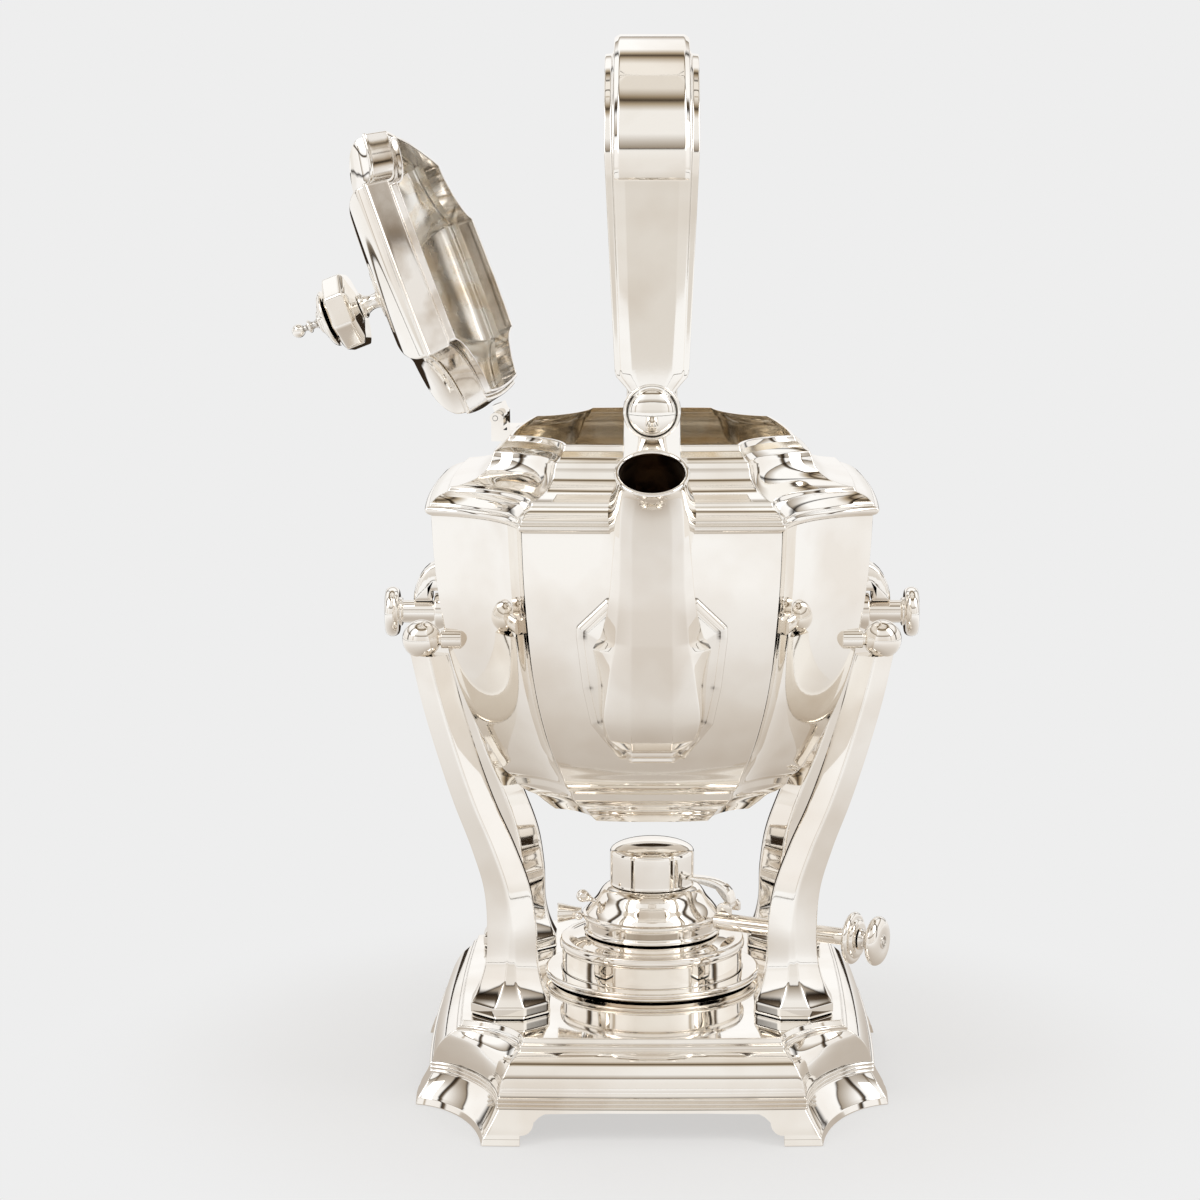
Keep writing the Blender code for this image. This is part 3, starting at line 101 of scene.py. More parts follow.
# finishes: hex colours, roughness, and pattern sizes in millimetres
# each crease colour darkens hollows and dark rows: tarnish and painted shade
silverLook = {"colour": "#f9f6f1", "haze": "#efe9e1", "crease": "#453a30", "roughness": 0.04, "hazeMm": 30,
              "waveMm": 30, "rubMm": 1.6, "wave": 0.05, "rub": 0.006}
innerLook = {"colour": "#fbf5ea", "haze": "#ecdcc2", "crease": "#5b4a38", "roughness": 0.20, "hazeMm": 13,
             "waveMm": 11, "rubMm": 1.6, "wave": 0.22, "rub": 0.02}
lidInnerLook = {"colour": "#fffdf8", "haze": "#efe3d0", "crease": "#8a7660", "roughness": 0.26, "hazeMm": 9,
                "waveMm": 9, "rubMm": 1.6, "wave": 0.3, "rub": 0.02}
boreLook = {"colour": "#a08c76", "haze": "#6a5847", "crease": "#15100c", "roughness": 0.36, "hazeMm": 6,
            "waveMm": 5, "rubMm": 1.2, "wave": 0.2, "rub": 0.05}
bandLook = {"colour": "#f6f3ef", "haze": "#d3c9bd", "crease": "#453a30", "roughness": 0.10, "hazeMm": 14,
            "waveMm": 16, "rubMm": 1.2, "wave": 0.08, "rub": 0.02}
brassLook = {"colour": "#c9a468", "haze": "#9b7a45", "crease": "#4a3820", "roughness": 0.22, "hazeMm": 7,
             "waveMm": 8, "rubMm": 0.8, "wave": 0.06, "rub": 0.03}


def polishedMetal(name, look):
    # sheet silver raised by hand and mirror-polished: faint haze, slow waves of the hammer, and creases darkened with
    # tarnish and painted shade
    material, tree, shader = newMaterial(name)
    place = addNode(tree, "ShaderNodeTexCoord")
    haze = addNode(tree, "ShaderNodeTexNoise", {"Scale": 1 / (look["hazeMm"] * mm), "Detail": 3},
                   {"Vector": place.outputs["Object"]})
    tint = addNode(tree, "ShaderNodeValToRGB", None, {"Fac": haze.outputs["Fac"]})
    setRamp(tint, [(0.36, linear(look["haze"])), (0.56, linear(look["colour"]))])
    crease = addNode(tree, "ShaderNodeAttribute", {"attribute_name": "crease"})
    # the crease attribute mixes in the crease colour: tarnish and painted shade
    tarnishAndShade = mixColours(tree, "MIX", tint.outputs["Color"], crease.outputs["Fac"])
    tarnishAndShade.inputs[7].default_value = linear(look["crease"])
    tree.links.new(tarnishAndShade.outputs[2], shader.inputs["Base Color"])
    rough = addNode(tree, "ShaderNodeMapRange", {"To Min": look["roughness"] * 0.7, "To Max": look["roughness"] * 1.4},
                    {"Value": haze.outputs["Fac"]})
    tree.links.new(rough.outputs["Result"], shader.inputs["Roughness"])
    wave = addNode(tree, "ShaderNodeTexNoise", {"Scale": 1 / (look["waveMm"] * mm), "Detail": 0},
                   {"Vector": place.outputs["Object"]})
    rub = addNode(tree, "ShaderNodeTexNoise", {"Scale": 1 / (look["rubMm"] * mm), "Detail": 2},
                  {"Vector": place.outputs["Object"]})
    slow = addNode(tree, "ShaderNodeBump", {"Strength": look["wave"], "Distance": 1.2 * mm},
                   {"Height": wave.outputs["Fac"]})
    fine = addNode(tree, "ShaderNodeBump", {"Strength": look["rub"], "Distance": 0.1 * mm},
                   {"Height": rub.outputs["Fac"], "Normal": slow.outputs["Normal"]})
    tree.links.new(fine.outputs["Normal"], shader.inputs["Normal"])
    shader.inputs["Metallic"].default_value = 1
    return material


def wovenCotton(name):
    # plaited cotton: matt, off-white, with ribs of the plait
    material, tree, shader = newMaterial(name)
    place = addNode(tree, "ShaderNodeTexCoord")
    plait = addNode(tree, "ShaderNodeTexWave", {"Scale": 1 / (6 * mm), "Distortion": 2.0, "Detail": 1},
                    {"Vector": place.outputs["Object"]})
    tint = addNode(tree, "ShaderNodeValToRGB", None, {"Fac": plait.outputs["Fac"]})
    setRamp(tint, [(0.2, linear("#a99f8a")), (0.8, linear("#e2dac6"))])
    tree.links.new(tint.outputs["Color"], shader.inputs["Base Color"])
    ribs = addNode(tree, "ShaderNodeBump", {"Strength": 0.6, "Distance": 0.2 * mm}, {"Height": plait.outputs["Fac"]})
    tree.links.new(ribs.outputs["Normal"], shader.inputs["Normal"])
    shader.inputs["Roughness"].default_value = 0.9
    return material


silver = polishedMetal("polishedSterling", silverLook)
innerSilver = polishedMetal("agedInnerSilver", innerLook)
lidInnerSilver = polishedMetal("agedLidSilver", lidInnerLook)
boreSilver = polishedMetal("spoutBoreSilver", boreLook)
bandSilver = polishedMetal("rubbedBandSilver", bandLook)
brass = polishedMetal("turnedBrass", brassLook)
cotton = wovenCotton("plaitedWick")
for node in parts.values():
    node.data.materials.clear()
    node.data.materials.append(silver)
print("materials")


# shapes worked out with numpy
creaseWidth = 0.45 * mm


def throughPoints(points, perSpan):
    # a cubic through the points: the slope at each is the mean of its two chords, weighted by the other's length
    chord = np.linalg.norm(np.diff(points[:, :2], axis=0), axis=1)[:, None]
    slope = np.diff(points, axis=0) / chord
    tangent = np.empty_like(points)
    tangent[1:-1] = (slope[:-1] * chord[1:] + slope[1:] * chord[:-1]) / (chord[:-1] + chord[1:])
    if len(points) > 2:
        tangent[0] = slope[0] * 1.5 - tangent[1] * 0.5
        tangent[-1] = slope[-1] * 1.5 - tangent[-2] * 0.5
    else:
        tangent[:] = slope[0]
    t = (np.arange(perSpan) / perSpan)[None, :, None]
    start, end = points[:-1, None], points[1:, None]
    first, last = (tangent[:-1] * chord)[:, None], (tangent[1:] * chord)[:, None]
    line = start * (1 + 2 * t) * (1 - t) ** 2 + end * t ** 2 * (3 - 2 * t)
    line += first * t * (1 - t) ** 2 - last * t ** 2 * (1 - t)
    return np.vstack([line.reshape(-1, points.shape[1]), points[-1:]])


def softLine(rows, radius=0.35 * mm, perSpan=5, cornerSteps=4):
    # a row ends in 1 at a corner: cubics run between the corners, and a quadratic curve rounds each corner
    rows = np.array(rows, float)
    points, corner = rows[:, :-1], rows[:, -1] > 0
    corner[[0, -1]] = True
    marks = np.flatnonzero(corner)
    runs = [throughPoints(points[a:b + 1], perSpan) for a, b in zip(marks[:-1], marks[1:])]
    pieces = []
    for at, run in enumerate(runs):
        away = np.concatenate([[0], np.cumsum(np.linalg.norm(np.diff(run[:, :2], axis=0), axis=1))])
        trim = min(radius, away[-1] * 0.35)
        low = trim if at else 0
        high = away[-1] - (trim if at < len(runs) - 1 else 0)
        keep = np.concatenate([[low], away[(away > low + 1e-7) & (away < high - 1e-7)], [high]])
        cut = np.stack([np.interp(keep, away, run[:, k]) for k in range(run.shape[1])], 1)
        if pieces:
            t = np.linspace(0, 1, cornerSteps + 2)[1:-1, None]
            pieces.append((1 - t) ** 2 * pieces[-1][-1] + 2 * t * (1 - t) * run[0] + t ** 2 * cut[0])
        pieces.append(cut)
    return np.vstack(pieces)


def roundedRing(points, radius, perSide=4, cornerSteps=5):
    # closed rows of corner points: each corner becomes a quadratic curve that starts and ends radius away from it
    edge = np.roll(points, -1, axis=-2) - points
    length = np.maximum(np.linalg.norm(edge, axis=-1, keepdims=True), 1e-9)
    share = np.minimum(radius, length * 0.4) / length
    before = points - np.roll(edge * share, 1, axis=-2)
    after = points + edge * share
    t = np.linspace(0, 1, cornerSteps)[:, None]
    turn = (1 - t) ** 2 * before[..., None, :] + 2 * t * (1 - t) * points[..., None, :] + t ** 2 * after[..., None, :]
    ahead = np.roll(before, -1, axis=-2)
    s = ((1 - np.cos(np.pi * np.arange(1, perSide + 1) / (perSide + 1))) / 2)[:, None]
    side = after[..., None, :] * (1 - s) + ahead[..., None, :] * s
    ring = np.concatenate([turn, side], axis=-2)
    return ring.reshape(*points.shape[:-2], -1, points.shape[-1])


def insetOutline(points, distance):
    # each corner moves in along the sum of its two sides' normals, so every side moves in by the distance
    edge = np.roll(points, -1, axis=0) - points
    area = np.sum(points[:, 0] * np.roll(points[:, 1], -1) - np.roll(points[:, 0], -1) * points[:, 1])
    normal = np.stack([-edge[:, 1], edge[:, 0]], 1) * np.sign(area)
    normal /= np.maximum(np.linalg.norm(normal, axis=1, keepdims=True), 1e-9)
    both = normal + np.roll(normal, 1, axis=0)
    return points + both * distance / np.maximum(1 + np.sum(normal * np.roll(normal, 1, axis=0), 1), 0.3)[:, None]


def planRings(across, along, facetX, facetY, height, bow, scoop, taper=0, radius=0.5 * mm):
    # a plan of four bowed sides and four scooped corners, one row a level; the ridges between them are rounded
    across, along, facetX, facetY, height, taper = [
        np.broadcast_to(np.asarray(value, float), np.shape(height))[:, None]
        for value in (across, along, facetX, facetY, height, taper)]
    towards = 1 - (1 - np.linspace(0, 1, 13)) ** 1.7
    frontT = towards[None] * (1 - radius / facetX)
    sideT = towards[None, ::-1] * (1 - radius / facetY)
    step = radius / np.hypot(across - facetX, along - facetY)
    s = step + (1 - 2 * step) * ((1 - np.cos(np.pi * np.linspace(0, 1, 23))) / 2)[None]
    scoopX = (facetX + (across - facetX) * s) * (1 - scoop)
    scoopX = scoopX + (across - (across - facetX) * np.cos(s * np.pi / 2)) * scoop
    scoopY = (along + (facetY - along) * s) * (1 - scoop)
    scoopY = scoopY + (along - (along - facetY) * np.sin(s * np.pi / 2)) * scoop
    frontX, frontY = facetX * frontT, along + bow * (1 - frontT ** 2)
    sideX, sideY = across + bow * (1 - sideT ** 2), facetY * sideT
    t = np.linspace(0, 1, 6)[None, 1:-1]

    def ridge(first, corner, last):
        return (1 - t) ** 2 * first + 2 * t * (1 - t) * corner + t ** 2 * last

    x = np.concatenate([frontX, ridge(frontX[:, -1:], facetX, scoopX[:, :1]), scoopX,
                        ridge(scoopX[:, -1:], across, sideX[:, :1]), sideX], 1)
    y = np.concatenate([frontY, ridge(frontY[:, -1:], along, scoopY[:, :1]), scoopY,
                        ridge(scoopY[:, -1:], facetY, sideY[:, :1]), sideY], 1)
    ringX = np.concatenate([x[:, :-1], x[:, :0:-1], -x[:, :-1], -x[:, :0:-1]], 1)
    ringY = np.concatenate([-y[:, :-1], y[:, :0:-1], y[:, :-1], -y[:, :0:-1]], 1)
    ringX = ringX * (1 - taper * (ringY / along + 1) / 2)
    return np.stack([ringX, ringY, height + 0 * ringX], -1)


def lathe(rows, foot=(0, 0, 0), axis=(0, 0, 1), steps=96, radius=0.3 * mm, perSpan=4):
    # a profile of (radius, height) carried round an axis: the radius times cosine and sine of the angle
    line = softLine(rows, radius, perSpan)
    angle = np.arange(steps) / steps * 2 * np.pi
    out = np.maximum(line[:, 0], 0.02 * mm)[:, None]
    grid = np.stack([out * np.cos(angle), out * np.sin(angle), line[:, 1:2] + 0 * angle], -1)
    turn = np.array(Vector(axis).to_track_quat("Z", "Y").to_matrix())
    return grid @ turn.T + np.array(foot)


def slab(outline, thickness, bevel, foot, across, up, radius=0.3 * mm, perSide=3):
    # an outline carried through its thickness, its edges a quarter round: inset 1 - sine, depth 1 - cosine
    outline = np.array(outline, float)
    turns = np.linspace(0, np.pi / 2, 4)
    insets = bevel * (1 - np.sin(turns))
    depths = bevel * (1 - np.cos(turns)) - thickness / 2
    rows = [(inset, depth) for inset, depth in zip(insets, depths)]
    rows += [(inset, -depth) for inset, depth in reversed(rows)]
    across, up = np.array(across, float), np.array(up, float)
    through = np.cross(across, up)
    grid = []
    for inset, depth in rows:
        ring = roundedRing(insetOutline(outline, inset), radius, perSide)
        grid.append(ring[:, :1] * across + ring[:, 1:2] * up + through * depth + np.array(foot))
    return np.array(grid)


def markCreases(mesh, rows, columns, dark):
    # how hollow the surface is at each point: its neighbours' mean, seen along its normal, over their distance squared
    count = len(mesh.vertices)
    place = np.empty(count * 3)
    mesh.vertices.foreach_get("co", place)
    place = place.reshape(-1, 3)
    normal = np.empty(count * 3)
    mesh.vertices.foreach_get("normal", normal)
    normal = normal.reshape(-1, 3)
    edge = np.empty(len(mesh.edges) * 2, int)
    mesh.edges.foreach_get("vertices", edge)
    edge = edge.reshape(-1, 2)
    near = np.bincount(edge.ravel(), minlength=count).clip(1)
    far = ((place[edge[:, 0]] - place[edge[:, 1]]) ** 2).sum(1)
    spread = (np.bincount(edge[:, 0], far, count) + np.bincount(edge[:, 1], far, count)) / near
    mean = np.zeros((count, 3))
    np.add.at(mean, edge[:, 0], place[edge[:, 1]])
    np.add.at(mean, edge[:, 1], place[edge[:, 0]])
    lift = ((mean / near[:, None] - place) * normal).sum(1)
    hollow = np.clip(2 * lift / np.maximum(spread, 1e-12) * 0.30 * mm, 0, 1)
    for _ in range(2):
        total = np.bincount(edge[:, 0], hollow[edge[:, 1]], count) + np.bincount(edge[:, 1], hollow[edge[:, 0]], count)
        hollow = hollow * 0.5 + total / near * 0.5
    grid = place[:rows * columns].reshape(rows, columns, 3)
    away = np.concatenate([[0], np.cumsum(np.linalg.norm(np.diff(grid, axis=0), axis=2).mean(1))])
    found = np.clip(hollow[:rows * columns].reshape(rows, columns) * 1.6, 0, 1)
    spread = found.copy()
    for row in np.flatnonzero(found.max(1) > 0.1):
        weight = np.clip(1 - np.abs(away - away[row]) / creaseWidth, 0, 1) ** 0.7
        near = np.flatnonzero(weight > 0)
        spread[near] = np.maximum(spread[near], weight[near, None] * found[row])
    spread[dark] = np.maximum(spread[dark], 0.85)
    hollow[:rows * columns] = spread.ravel()
    # the crease attribute darkens the materials in hollows and dark rows: tarnish and painted shade
    crease = mesh.attributes.new("crease", "FLOAT", "POINT")
    crease.data.foreach_set("value", hollow.astype(np.float32))


def makePiece(name, body, grid, *nodes, finish=silver, closed=False, turn=None, inner=None, innerFrom=0,
              slot="polished_silver", dark=()):
    # a skin over the grid's rows, each of which closes on itself; open ends get a fan round their middle point;
    # dark rows take tarnish and painted shade along their whole length
    grid = np.array(grid, float)
    if turn is not None:
        turn = np.array(turn)
        grid = grid @ turn[:3, :3].T + turn[:3, 3]
    grid = grid + standCentre
    rows, columns = grid.shape[:2]
    at = np.arange(rows * columns).reshape(rows, columns)
    after = np.roll(at, -1, axis=1)
    quads = np.stack([at, after, np.roll(after, -1, axis=0), np.roll(at, -1, axis=0)], -1)
    quads = quads.reshape(-1, 4) if closed else quads[:-1].reshape(-1, 4)
    verts = grid.reshape(-1, 3)
    fans = np.empty((0, 3), int)
    if not closed:
        low = np.stack([after[0], at[0], np.full(columns, len(verts))], -1)
        high = np.stack([at[-1], after[-1], np.full(columns, len(verts) + 1)], -1)
        fans = np.vstack([low, high])
        verts = np.vstack([verts, grid[0].mean(0), grid[-1].mean(0)])
    corners = verts[np.vstack([quads[:, :3], quads[:, [0, 2, 3]], fans])] - verts.mean(0)
    if np.einsum("ij,ij->", corners[:, 0], np.cross(corners[:, 1], corners[:, 2])) < 0:
        quads, fans = quads[:, ::-1], fans[:, ::-1]
    mesh = bpy.data.meshes.new(name)
    mesh.from_pydata(verts.tolist(), [], quads.tolist() + fans.tolist())
    mesh.materials.append(finish)
    if inner is not None:
        mesh.materials.append(inner)
        kind = np.zeros(len(mesh.polygons), np.int32)
        kind[innerFrom * columns:len(quads)] = 1
        kind[len(quads) + columns:] = 1
        mesh.polygons.foreach_set("material_index", kind)
    mesh.shade_smooth()
    mesh.set_sharp_from_angle(angle=math.radians(38))
    markCreases(mesh, rows, columns, list(dark))
    item = bpy.data.objects.new(name, mesh)
    bpy.context.scene.collection.objects.link(item)
    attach(item, body)
    if nodes:
        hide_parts(*nodes)
    return item


# kettle body: plan and profile in millimetres and shares; a row ends in 1 where the profile has an edge
kettle = {
    "halfWidth": 64.6, "planRatio": 1.16, "frontFacet": 0.567, "sideFacet": 0.52, "scoop": 0.8, "bow": 1.1,
    "topZ": 178.2, "bottomZ": 85.4, "wall": 1.2, "shoulderHeight": 22.1, "shoulderInset": 20.0, "rimTaper": 0.24,
    "bowl": [(0.0, 0.455, 1), (0.028, 0.500, 0), (0.055, 0.540, 0), (0.075, 0.590, 0), (0.100, 0.628, 1),
             (0.125, 0.640, 1), (0.141, 0.672, 0), (0.152, 0.686, 0), (0.207, 0.733, 0), (0.322, 0.818, 0),
             (0.445, 0.886, 0), (0.556, 0.928, 0), (0.685, 0.960, 0), (0.86, 0.989, 0), (1.0, 1.0, 1)],
    "shoulder": [(0.035, -0.070, 0), (0.07, -0.088, 0), (0.105, -0.07, 0), (0.127, -0.025, 1), (0.155, -0.02, 1),
                 (0.25, 0.085, 0), (0.305, 0.20, 1), (0.362, 0.225, 1), (0.40, 0.42, 0), (0.475, 0.59, 0),
                 (0.58, 0.70, 0), (0.735, 0.765, 1), (0.80, 0.79, 1), (0.91, 0.955, 0), (1.0, 1.0, 1)],
}


def kettleRings(width, height, taper=0, grow=0):
    along = width * kettle["planRatio"]
    return planRings(width + grow, along + grow, width * kettle["frontFacet"], along * kettle["sideFacet"], height,
                     kettle["bow"] * mm, kettle["scoop"], taper)


def kettleLevels():
    half, inset, wall = kettle["halfWidth"] * mm, kettle["shoulderInset"] * mm, kettle["wall"] * mm
    low, high = kettle["bottomZ"] * mm, kettle["topZ"] * mm
    rows = [(half * out, low + up * (high - low), 0, corner) for up, out, corner in kettle["bowl"]]
    rows += [(half - inward * inset, high + up * kettle["shoulderHeight"] * mm, kettle["rimTaper"] * max(inward, 0),
              corner) for up, inward, corner in kettle["shoulder"]]
    outer = np.array(rows)
    chosen = outer[[0, 3, 6, 9, 11, 13, 14, 17, 20, 22, 24, 26, 27]]
    run = np.gradient(chosen[:, :2], axis=0)
    run /= np.linalg.norm(run, axis=1, keepdims=True)
    inner = chosen.copy()
    inner[:, 0] -= run[:, 1] * wall
    inner[:, 1] += run[:, 0] * wall
    inner[0, 1] = low + wall
    inner[:, 3] = 0
    lip = (outer[-1, 0] - wall, outer[-1, 1], outer[-1, 2], 1)
    return [*rows, lip, *inner[::-1].tolist()], len(rows)


kettleRows, kettleOuterRows = kettleLevels()
kettleLine = softLine(kettleRows, 0.3 * mm, 6)
kettleInside = int(np.argmax(kettleLine[:, 1])) + 4
makePiece("kettleBody", "kettle", kettleRings(kettleLine[:, 0], kettleLine[:, 1], kettleLine[:, 2]), "kettle_body",
          inner=innerSilver, innerFrom=kettleInside)
skinLine = kettleLine[:kettleInside]


def bodyFront(x, z):
    # the body's front side at a height: the plan's length there, bowed by one minus the share across squared
    width = np.interp(z, skinLine[:, 1], skinLine[:, 0])
    share = np.clip(x / (width * kettle["frontFacet"]), -1, 1)
    return -(width * kettle["planRatio"] + kettle["bow"] * mm * (1 - share ** 2))


print("kettle body")

# spout: stations as in the solid, each a row of front and rear points, half widths and how far back three corners lie
spout = {
    "footZ": 105.0, "height": 98.8, "reach": 55.5, "halfWidth": 21.5, "rootY": 60.0, "wall": 1.1,
    "shieldShare": 0.55, "boreRows": 32, "lipProud": 0.3, "lipHeight": 0.6,
    "shield": [(0.60, 1.0), (1.0, 0.845), (1.0, 0.79), (0.92, 0.51), (0.815, 0.30), (0.435, 0.09)],
    "stations": [
        (0.070, 0.046, -0.20, 0.046, 0.24, 0.29, 0.34, 0.32, 0.10, 0.30, 0.8, 1),
        (0.105, 0.055, -0.20, 0.055, 0.26, 0.31, 0.37, 0.34, 0.10, 0.35, 0.8, 0),
        (0.105, 0.066, -0.20, 0.066, 0.25, 0.30, 0.37, 0.35, 0.12, 0.42, 0.8, 1),
        (0.155, 0.076, -0.20, 0.076, 0.265, 0.33, 0.42, 0.40, 0.13, 0.50, 0.8, 0),
        (0.160, 0.089, -0.20, 0.089, 0.262, 0.36, 0.46, 0.44, 0.14, 0.52, 0.8, 1),
        (0.220, 0.099, -0.20, 0.099, 0.265, 0.42, 0.54, 0.50, 0.14, 0.54, 0.8, 1),
        (0.27, 0.128, -0.20, 0.128, 0.27, 0.56, 0.68, 0.62, 0.14, 0.55, 0.8, 1),
        (0.345, 0.187, -0.20, 0.187, 0.27, 0.63, 0.74, 0.68, 0.15, 0.52, 0.8, 0),
        (0.425, 0.300, -0.20, 0.300, 0.265, 0.58, 0.81, 0.74, 0.14, 0.46, 0.8, 0),
        (0.490, 0.403, -0.15, 0.403, 0.26, 0.50, 0.88, 0.80, 0.13, 0.44, 0.8, 1),
        (0.510, 0.435, -0.15, 0.435, 0.258, 0.48, 0.69, 0.64, 0.13, 0.36, 0.8, 1),
        (0.560, 0.531, 0.22, 0.539, 0.255, 0.44, 0.585, 0.54, 0.14, 0.36, 0.8, 0),
        (0.620, 0.648, 0.315, 0.678, 0.25, 0.41, 0.525, 0.50, 0.15, 0.34, 0.78, 0),
        (0.697, 0.759, 0.370, 0.820, 0.25, 0.405, 0.48, 0.58, 0.15, 0.30, 0.70, 0),
        (0.802, 0.845, 0.460, 0.926, 0.25, 0.41, 0.47, 0.615, 0.15, 0.32, 0.66, 0),
        (0.895, 0.885, 0.560, 0.978, 0.20, 0.38, 0.46, 0.50, 0.18, 0.44, 0.74, 0),
        (0.936, 0.896, 0.630, 1.000, 0.17, 0.37, 0.468, 0.33, 0.19, 0.50, 0.87, 1)],
}


def spoutGrid():
    # at each station ten corner points round the spout; near the mouth each ring turns into an ellipse
    reach, height, wide = spout["reach"] * mm, spout["height"] * mm, spout["halfWidth"] * mm
    table = np.array(spout["stations"])
    table[:, 0] *= reach
    table[:, 1] *= height
    line = softLine(table, 0.5 * mm, 7)
    front = np.stack([-(spout["rootY"] * mm + line[:, 0]), spout["footZ"] * mm + line[:, 1]], 1)
    rear = np.stack([-(spout["rootY"] * mm + line[:, 2] * reach), spout["footZ"] * mm + line[:, 3] * height], 1)
    facet, ridge, edge, back = line[:, 4:8].T
    nothing = 0 * facet
    half = [(facet, nothing), (ridge, line[:, 8]), (edge, line[:, 9]), (back, line[:, 10]), (facet, nothing + 1)]
    corners = [(side * w * wide, b) for side, row in ((1, half), (-1, half[::-1])) for w, b in row]
    points = np.stack([np.concatenate([w[:, None], front + (rear - front) * b[:, None]], 1) for w, b in corners], 1)
    ring = roundedRing(points, 0.45 * mm, 5, 6)
    middle = (front + rear) / 2
    run = (rear - front) / 2
    radius = np.linalg.norm(run, axis=1, keepdims=True)
    unit = run / radius
    lift = ((ring[:, :, 1:] - middle[:, None]) * unit[:, None]).sum(-1)
    angle = np.arctan2(lift, ring[:, :, 0])
    oval = np.concatenate([(np.cos(angle) * edge[:, None] * wide)[..., None],
                           middle[:, None] + unit[:, None] * (np.sin(angle) * radius)[..., None]], -1)
    near = np.clip((line[:, 1] / height - 0.74) / 0.15, 0, 1)
    near = (near * near * (3 - 2 * near))[:, None, None]
    outer = ring * (1 - near) + oval * near
    buried = outer[..., 1] > bodyFront(outer[..., 0], outer[..., 2])
    outer[..., 1] = np.where(buried, bodyFront(outer[..., 0], outer[..., 2]) + 0.3 * mm, outer[..., 1])
    mouth = outer[-1]
    centre = mouth.mean(0)
    normal = np.array([0, unit[-1, 1], -unit[-1, 0]]) * -1
    away = (mouth - centre) / np.linalg.norm(mouth - centre, axis=1, keepdims=True)
    wall = spout["wall"] * mm
    roll = np.linspace(0, np.pi, 9)[1:, None, None]
    proud = spout["lipProud"] * mm
    lip = mouth + away * (proud + (wall + proud) / 2 * (np.cos(roll) - 1))
    lip = lip + normal * np.sin(roll) * spout["lipHeight"] * mm
    lead = mouth + away * proud
    rings = outer[-3:-spout["boreRows"]:-2]
    middles = rings.mean(1, keepdims=True)
    size = np.linalg.norm(rings - middles, axis=2).mean(1)[:, None, None]
    bore = middles + (rings - middles) * (size - wall) / size
    return np.concatenate([outer, lead[None], lip, bore]), len(outer) + 1 + len(lip)


grid, boreFrom = spoutGrid()
makePiece("spoutTube", "kettle", grid, "spout", inner=boreSilver, innerFrom=boreFrom)


def shieldGrid():
    # the outline is inset step by step while it rises off the body by the relief: rim, bevel, field
    wide, high = spout["halfWidth"] * mm, spout["height"] * spout["shieldShare"] * mm
    half = [(x * wide, spout["footZ"] * mm + up * high) for x, up in spout["shield"]]
    outline = np.array(half + [(-x, z) for x, z in reversed(half)])
    rows = []
    for inset, relief in ((0, -0.3), (0, 0.7), (0.10, 1.0), (0.25, 1.15), (1.9, 2.15), (2.05, 2.15), (2.2, 1.9),
                          (2.35, 1.85), (2.5, 1.9), (3.4, 2.4)):
        ring = roundedRing(insetOutline(outline, inset * mm), 0.35 * mm, 10)
        y = bodyFront(ring[:, 0], ring[:, 1]) - relief * mm
        rows.append(np.stack([ring[:, 0], y, ring[:, 1]], 1))
    return np.array(rows)


# the shield's two edge rows, where it meets the body, take tarnish and painted shade
makePiece("spoutShield", "kettle", shieldGrid(), dark=(0, 1))
print("spout")

# lid: drawn shut and turned open about the hinge of the frame
lid = {
    "overhang": 2.1, "height": 22.4, "wall": 1.1, "seat": 0.3, "plateShare": 0.29, "plateHeight": 1.4,
    "profile": [(0.0, 0.036, 1), (0.262, 0.008, 1), (0.28, 0.0, 0), (0.303, 0.0, 0), (0.322, 0.016, 1),
                (0.426, 0.022, 0), (0.536, 0.062, 0), (0.63, 0.125, 0), (0.72, 0.225, 0), (0.80, 0.36, 0),
                (0.875, 0.53, 0), (0.942, 0.72, 1)],
}
hingePlace = Vector(joints["lid_hinge"]["pos_m"]) - Vector(standCentre)
hingeAxis = Vector(joints["lid_hinge"]["axis"])
openAngle = math.radians(joints["lid_hinge"]["range_deg"][1])
lidTurn = Matrix.Translation(hingePlace) @ Matrix.Rotation(-openAngle, 4, hingeAxis) @ Matrix.Translation(-hingePlace)
rimHalf = (kettle["halfWidth"] - kettle["shoulderInset"]) * mm
lidFoot = (kettle["topZ"] + kettle["shoulderHeight"] + lid["seat"]) * mm
lidWidth = rimHalf + lid["overhang"] * mm
lidTop = lidFoot + lid["profile"][-1][0] * lid["height"] * mm


def lidRows():
    high, wall = lid["height"] * mm, lid["wall"] * mm
    outer = [(lidWidth * (1 - inward), lidFoot + up * high, corner) for up, inward, corner in lid["profile"]]
    inner = [(outer[0][0] - wall, outer[0][1], 1)]
    inner += [(width - wall, height - wall, 0) for width, height, corner in outer[2:]]
    return [*outer[::-1], *inner]


lidLine = softLine(lidRows(), 0.25 * mm, 6)
edgeRow = int(np.argmin(lidLine[:, 1])) + 2
bandTop = lidFoot + 0.262 * lid["height"] * mm
lidPiece = makePiece("lidDome", "lid", kettleRings(lidLine[:, 0], lidLine[:, 1], kettle["rimTaper"]), "lid_dome",
                     turn=lidTurn, inner=lidInnerSilver, innerFrom=edgeRow)


def paintBand():
    # the upright band is rubbed more than the dome: its rows of faces take the rubbed finish
    lidPiece.data.materials.append(bandSilver)
    columns = (len(lidPiece.data.vertices) - 2) // len(lidLine)
    rows = np.flatnonzero((lidLine[:-1, 1] < bandTop) & (np.arange(len(lidLine) - 1) < edgeRow - 4))
    kind = np.empty(len(lidPiece.data.polygons), np.int32)
    lidPiece.data.polygons.foreach_get("material_index", kind)
    for row in rows:
        kind[row * columns:(row + 1) * columns] = 2
    lidPiece.data.polygons.foreach_set("material_index", kind)


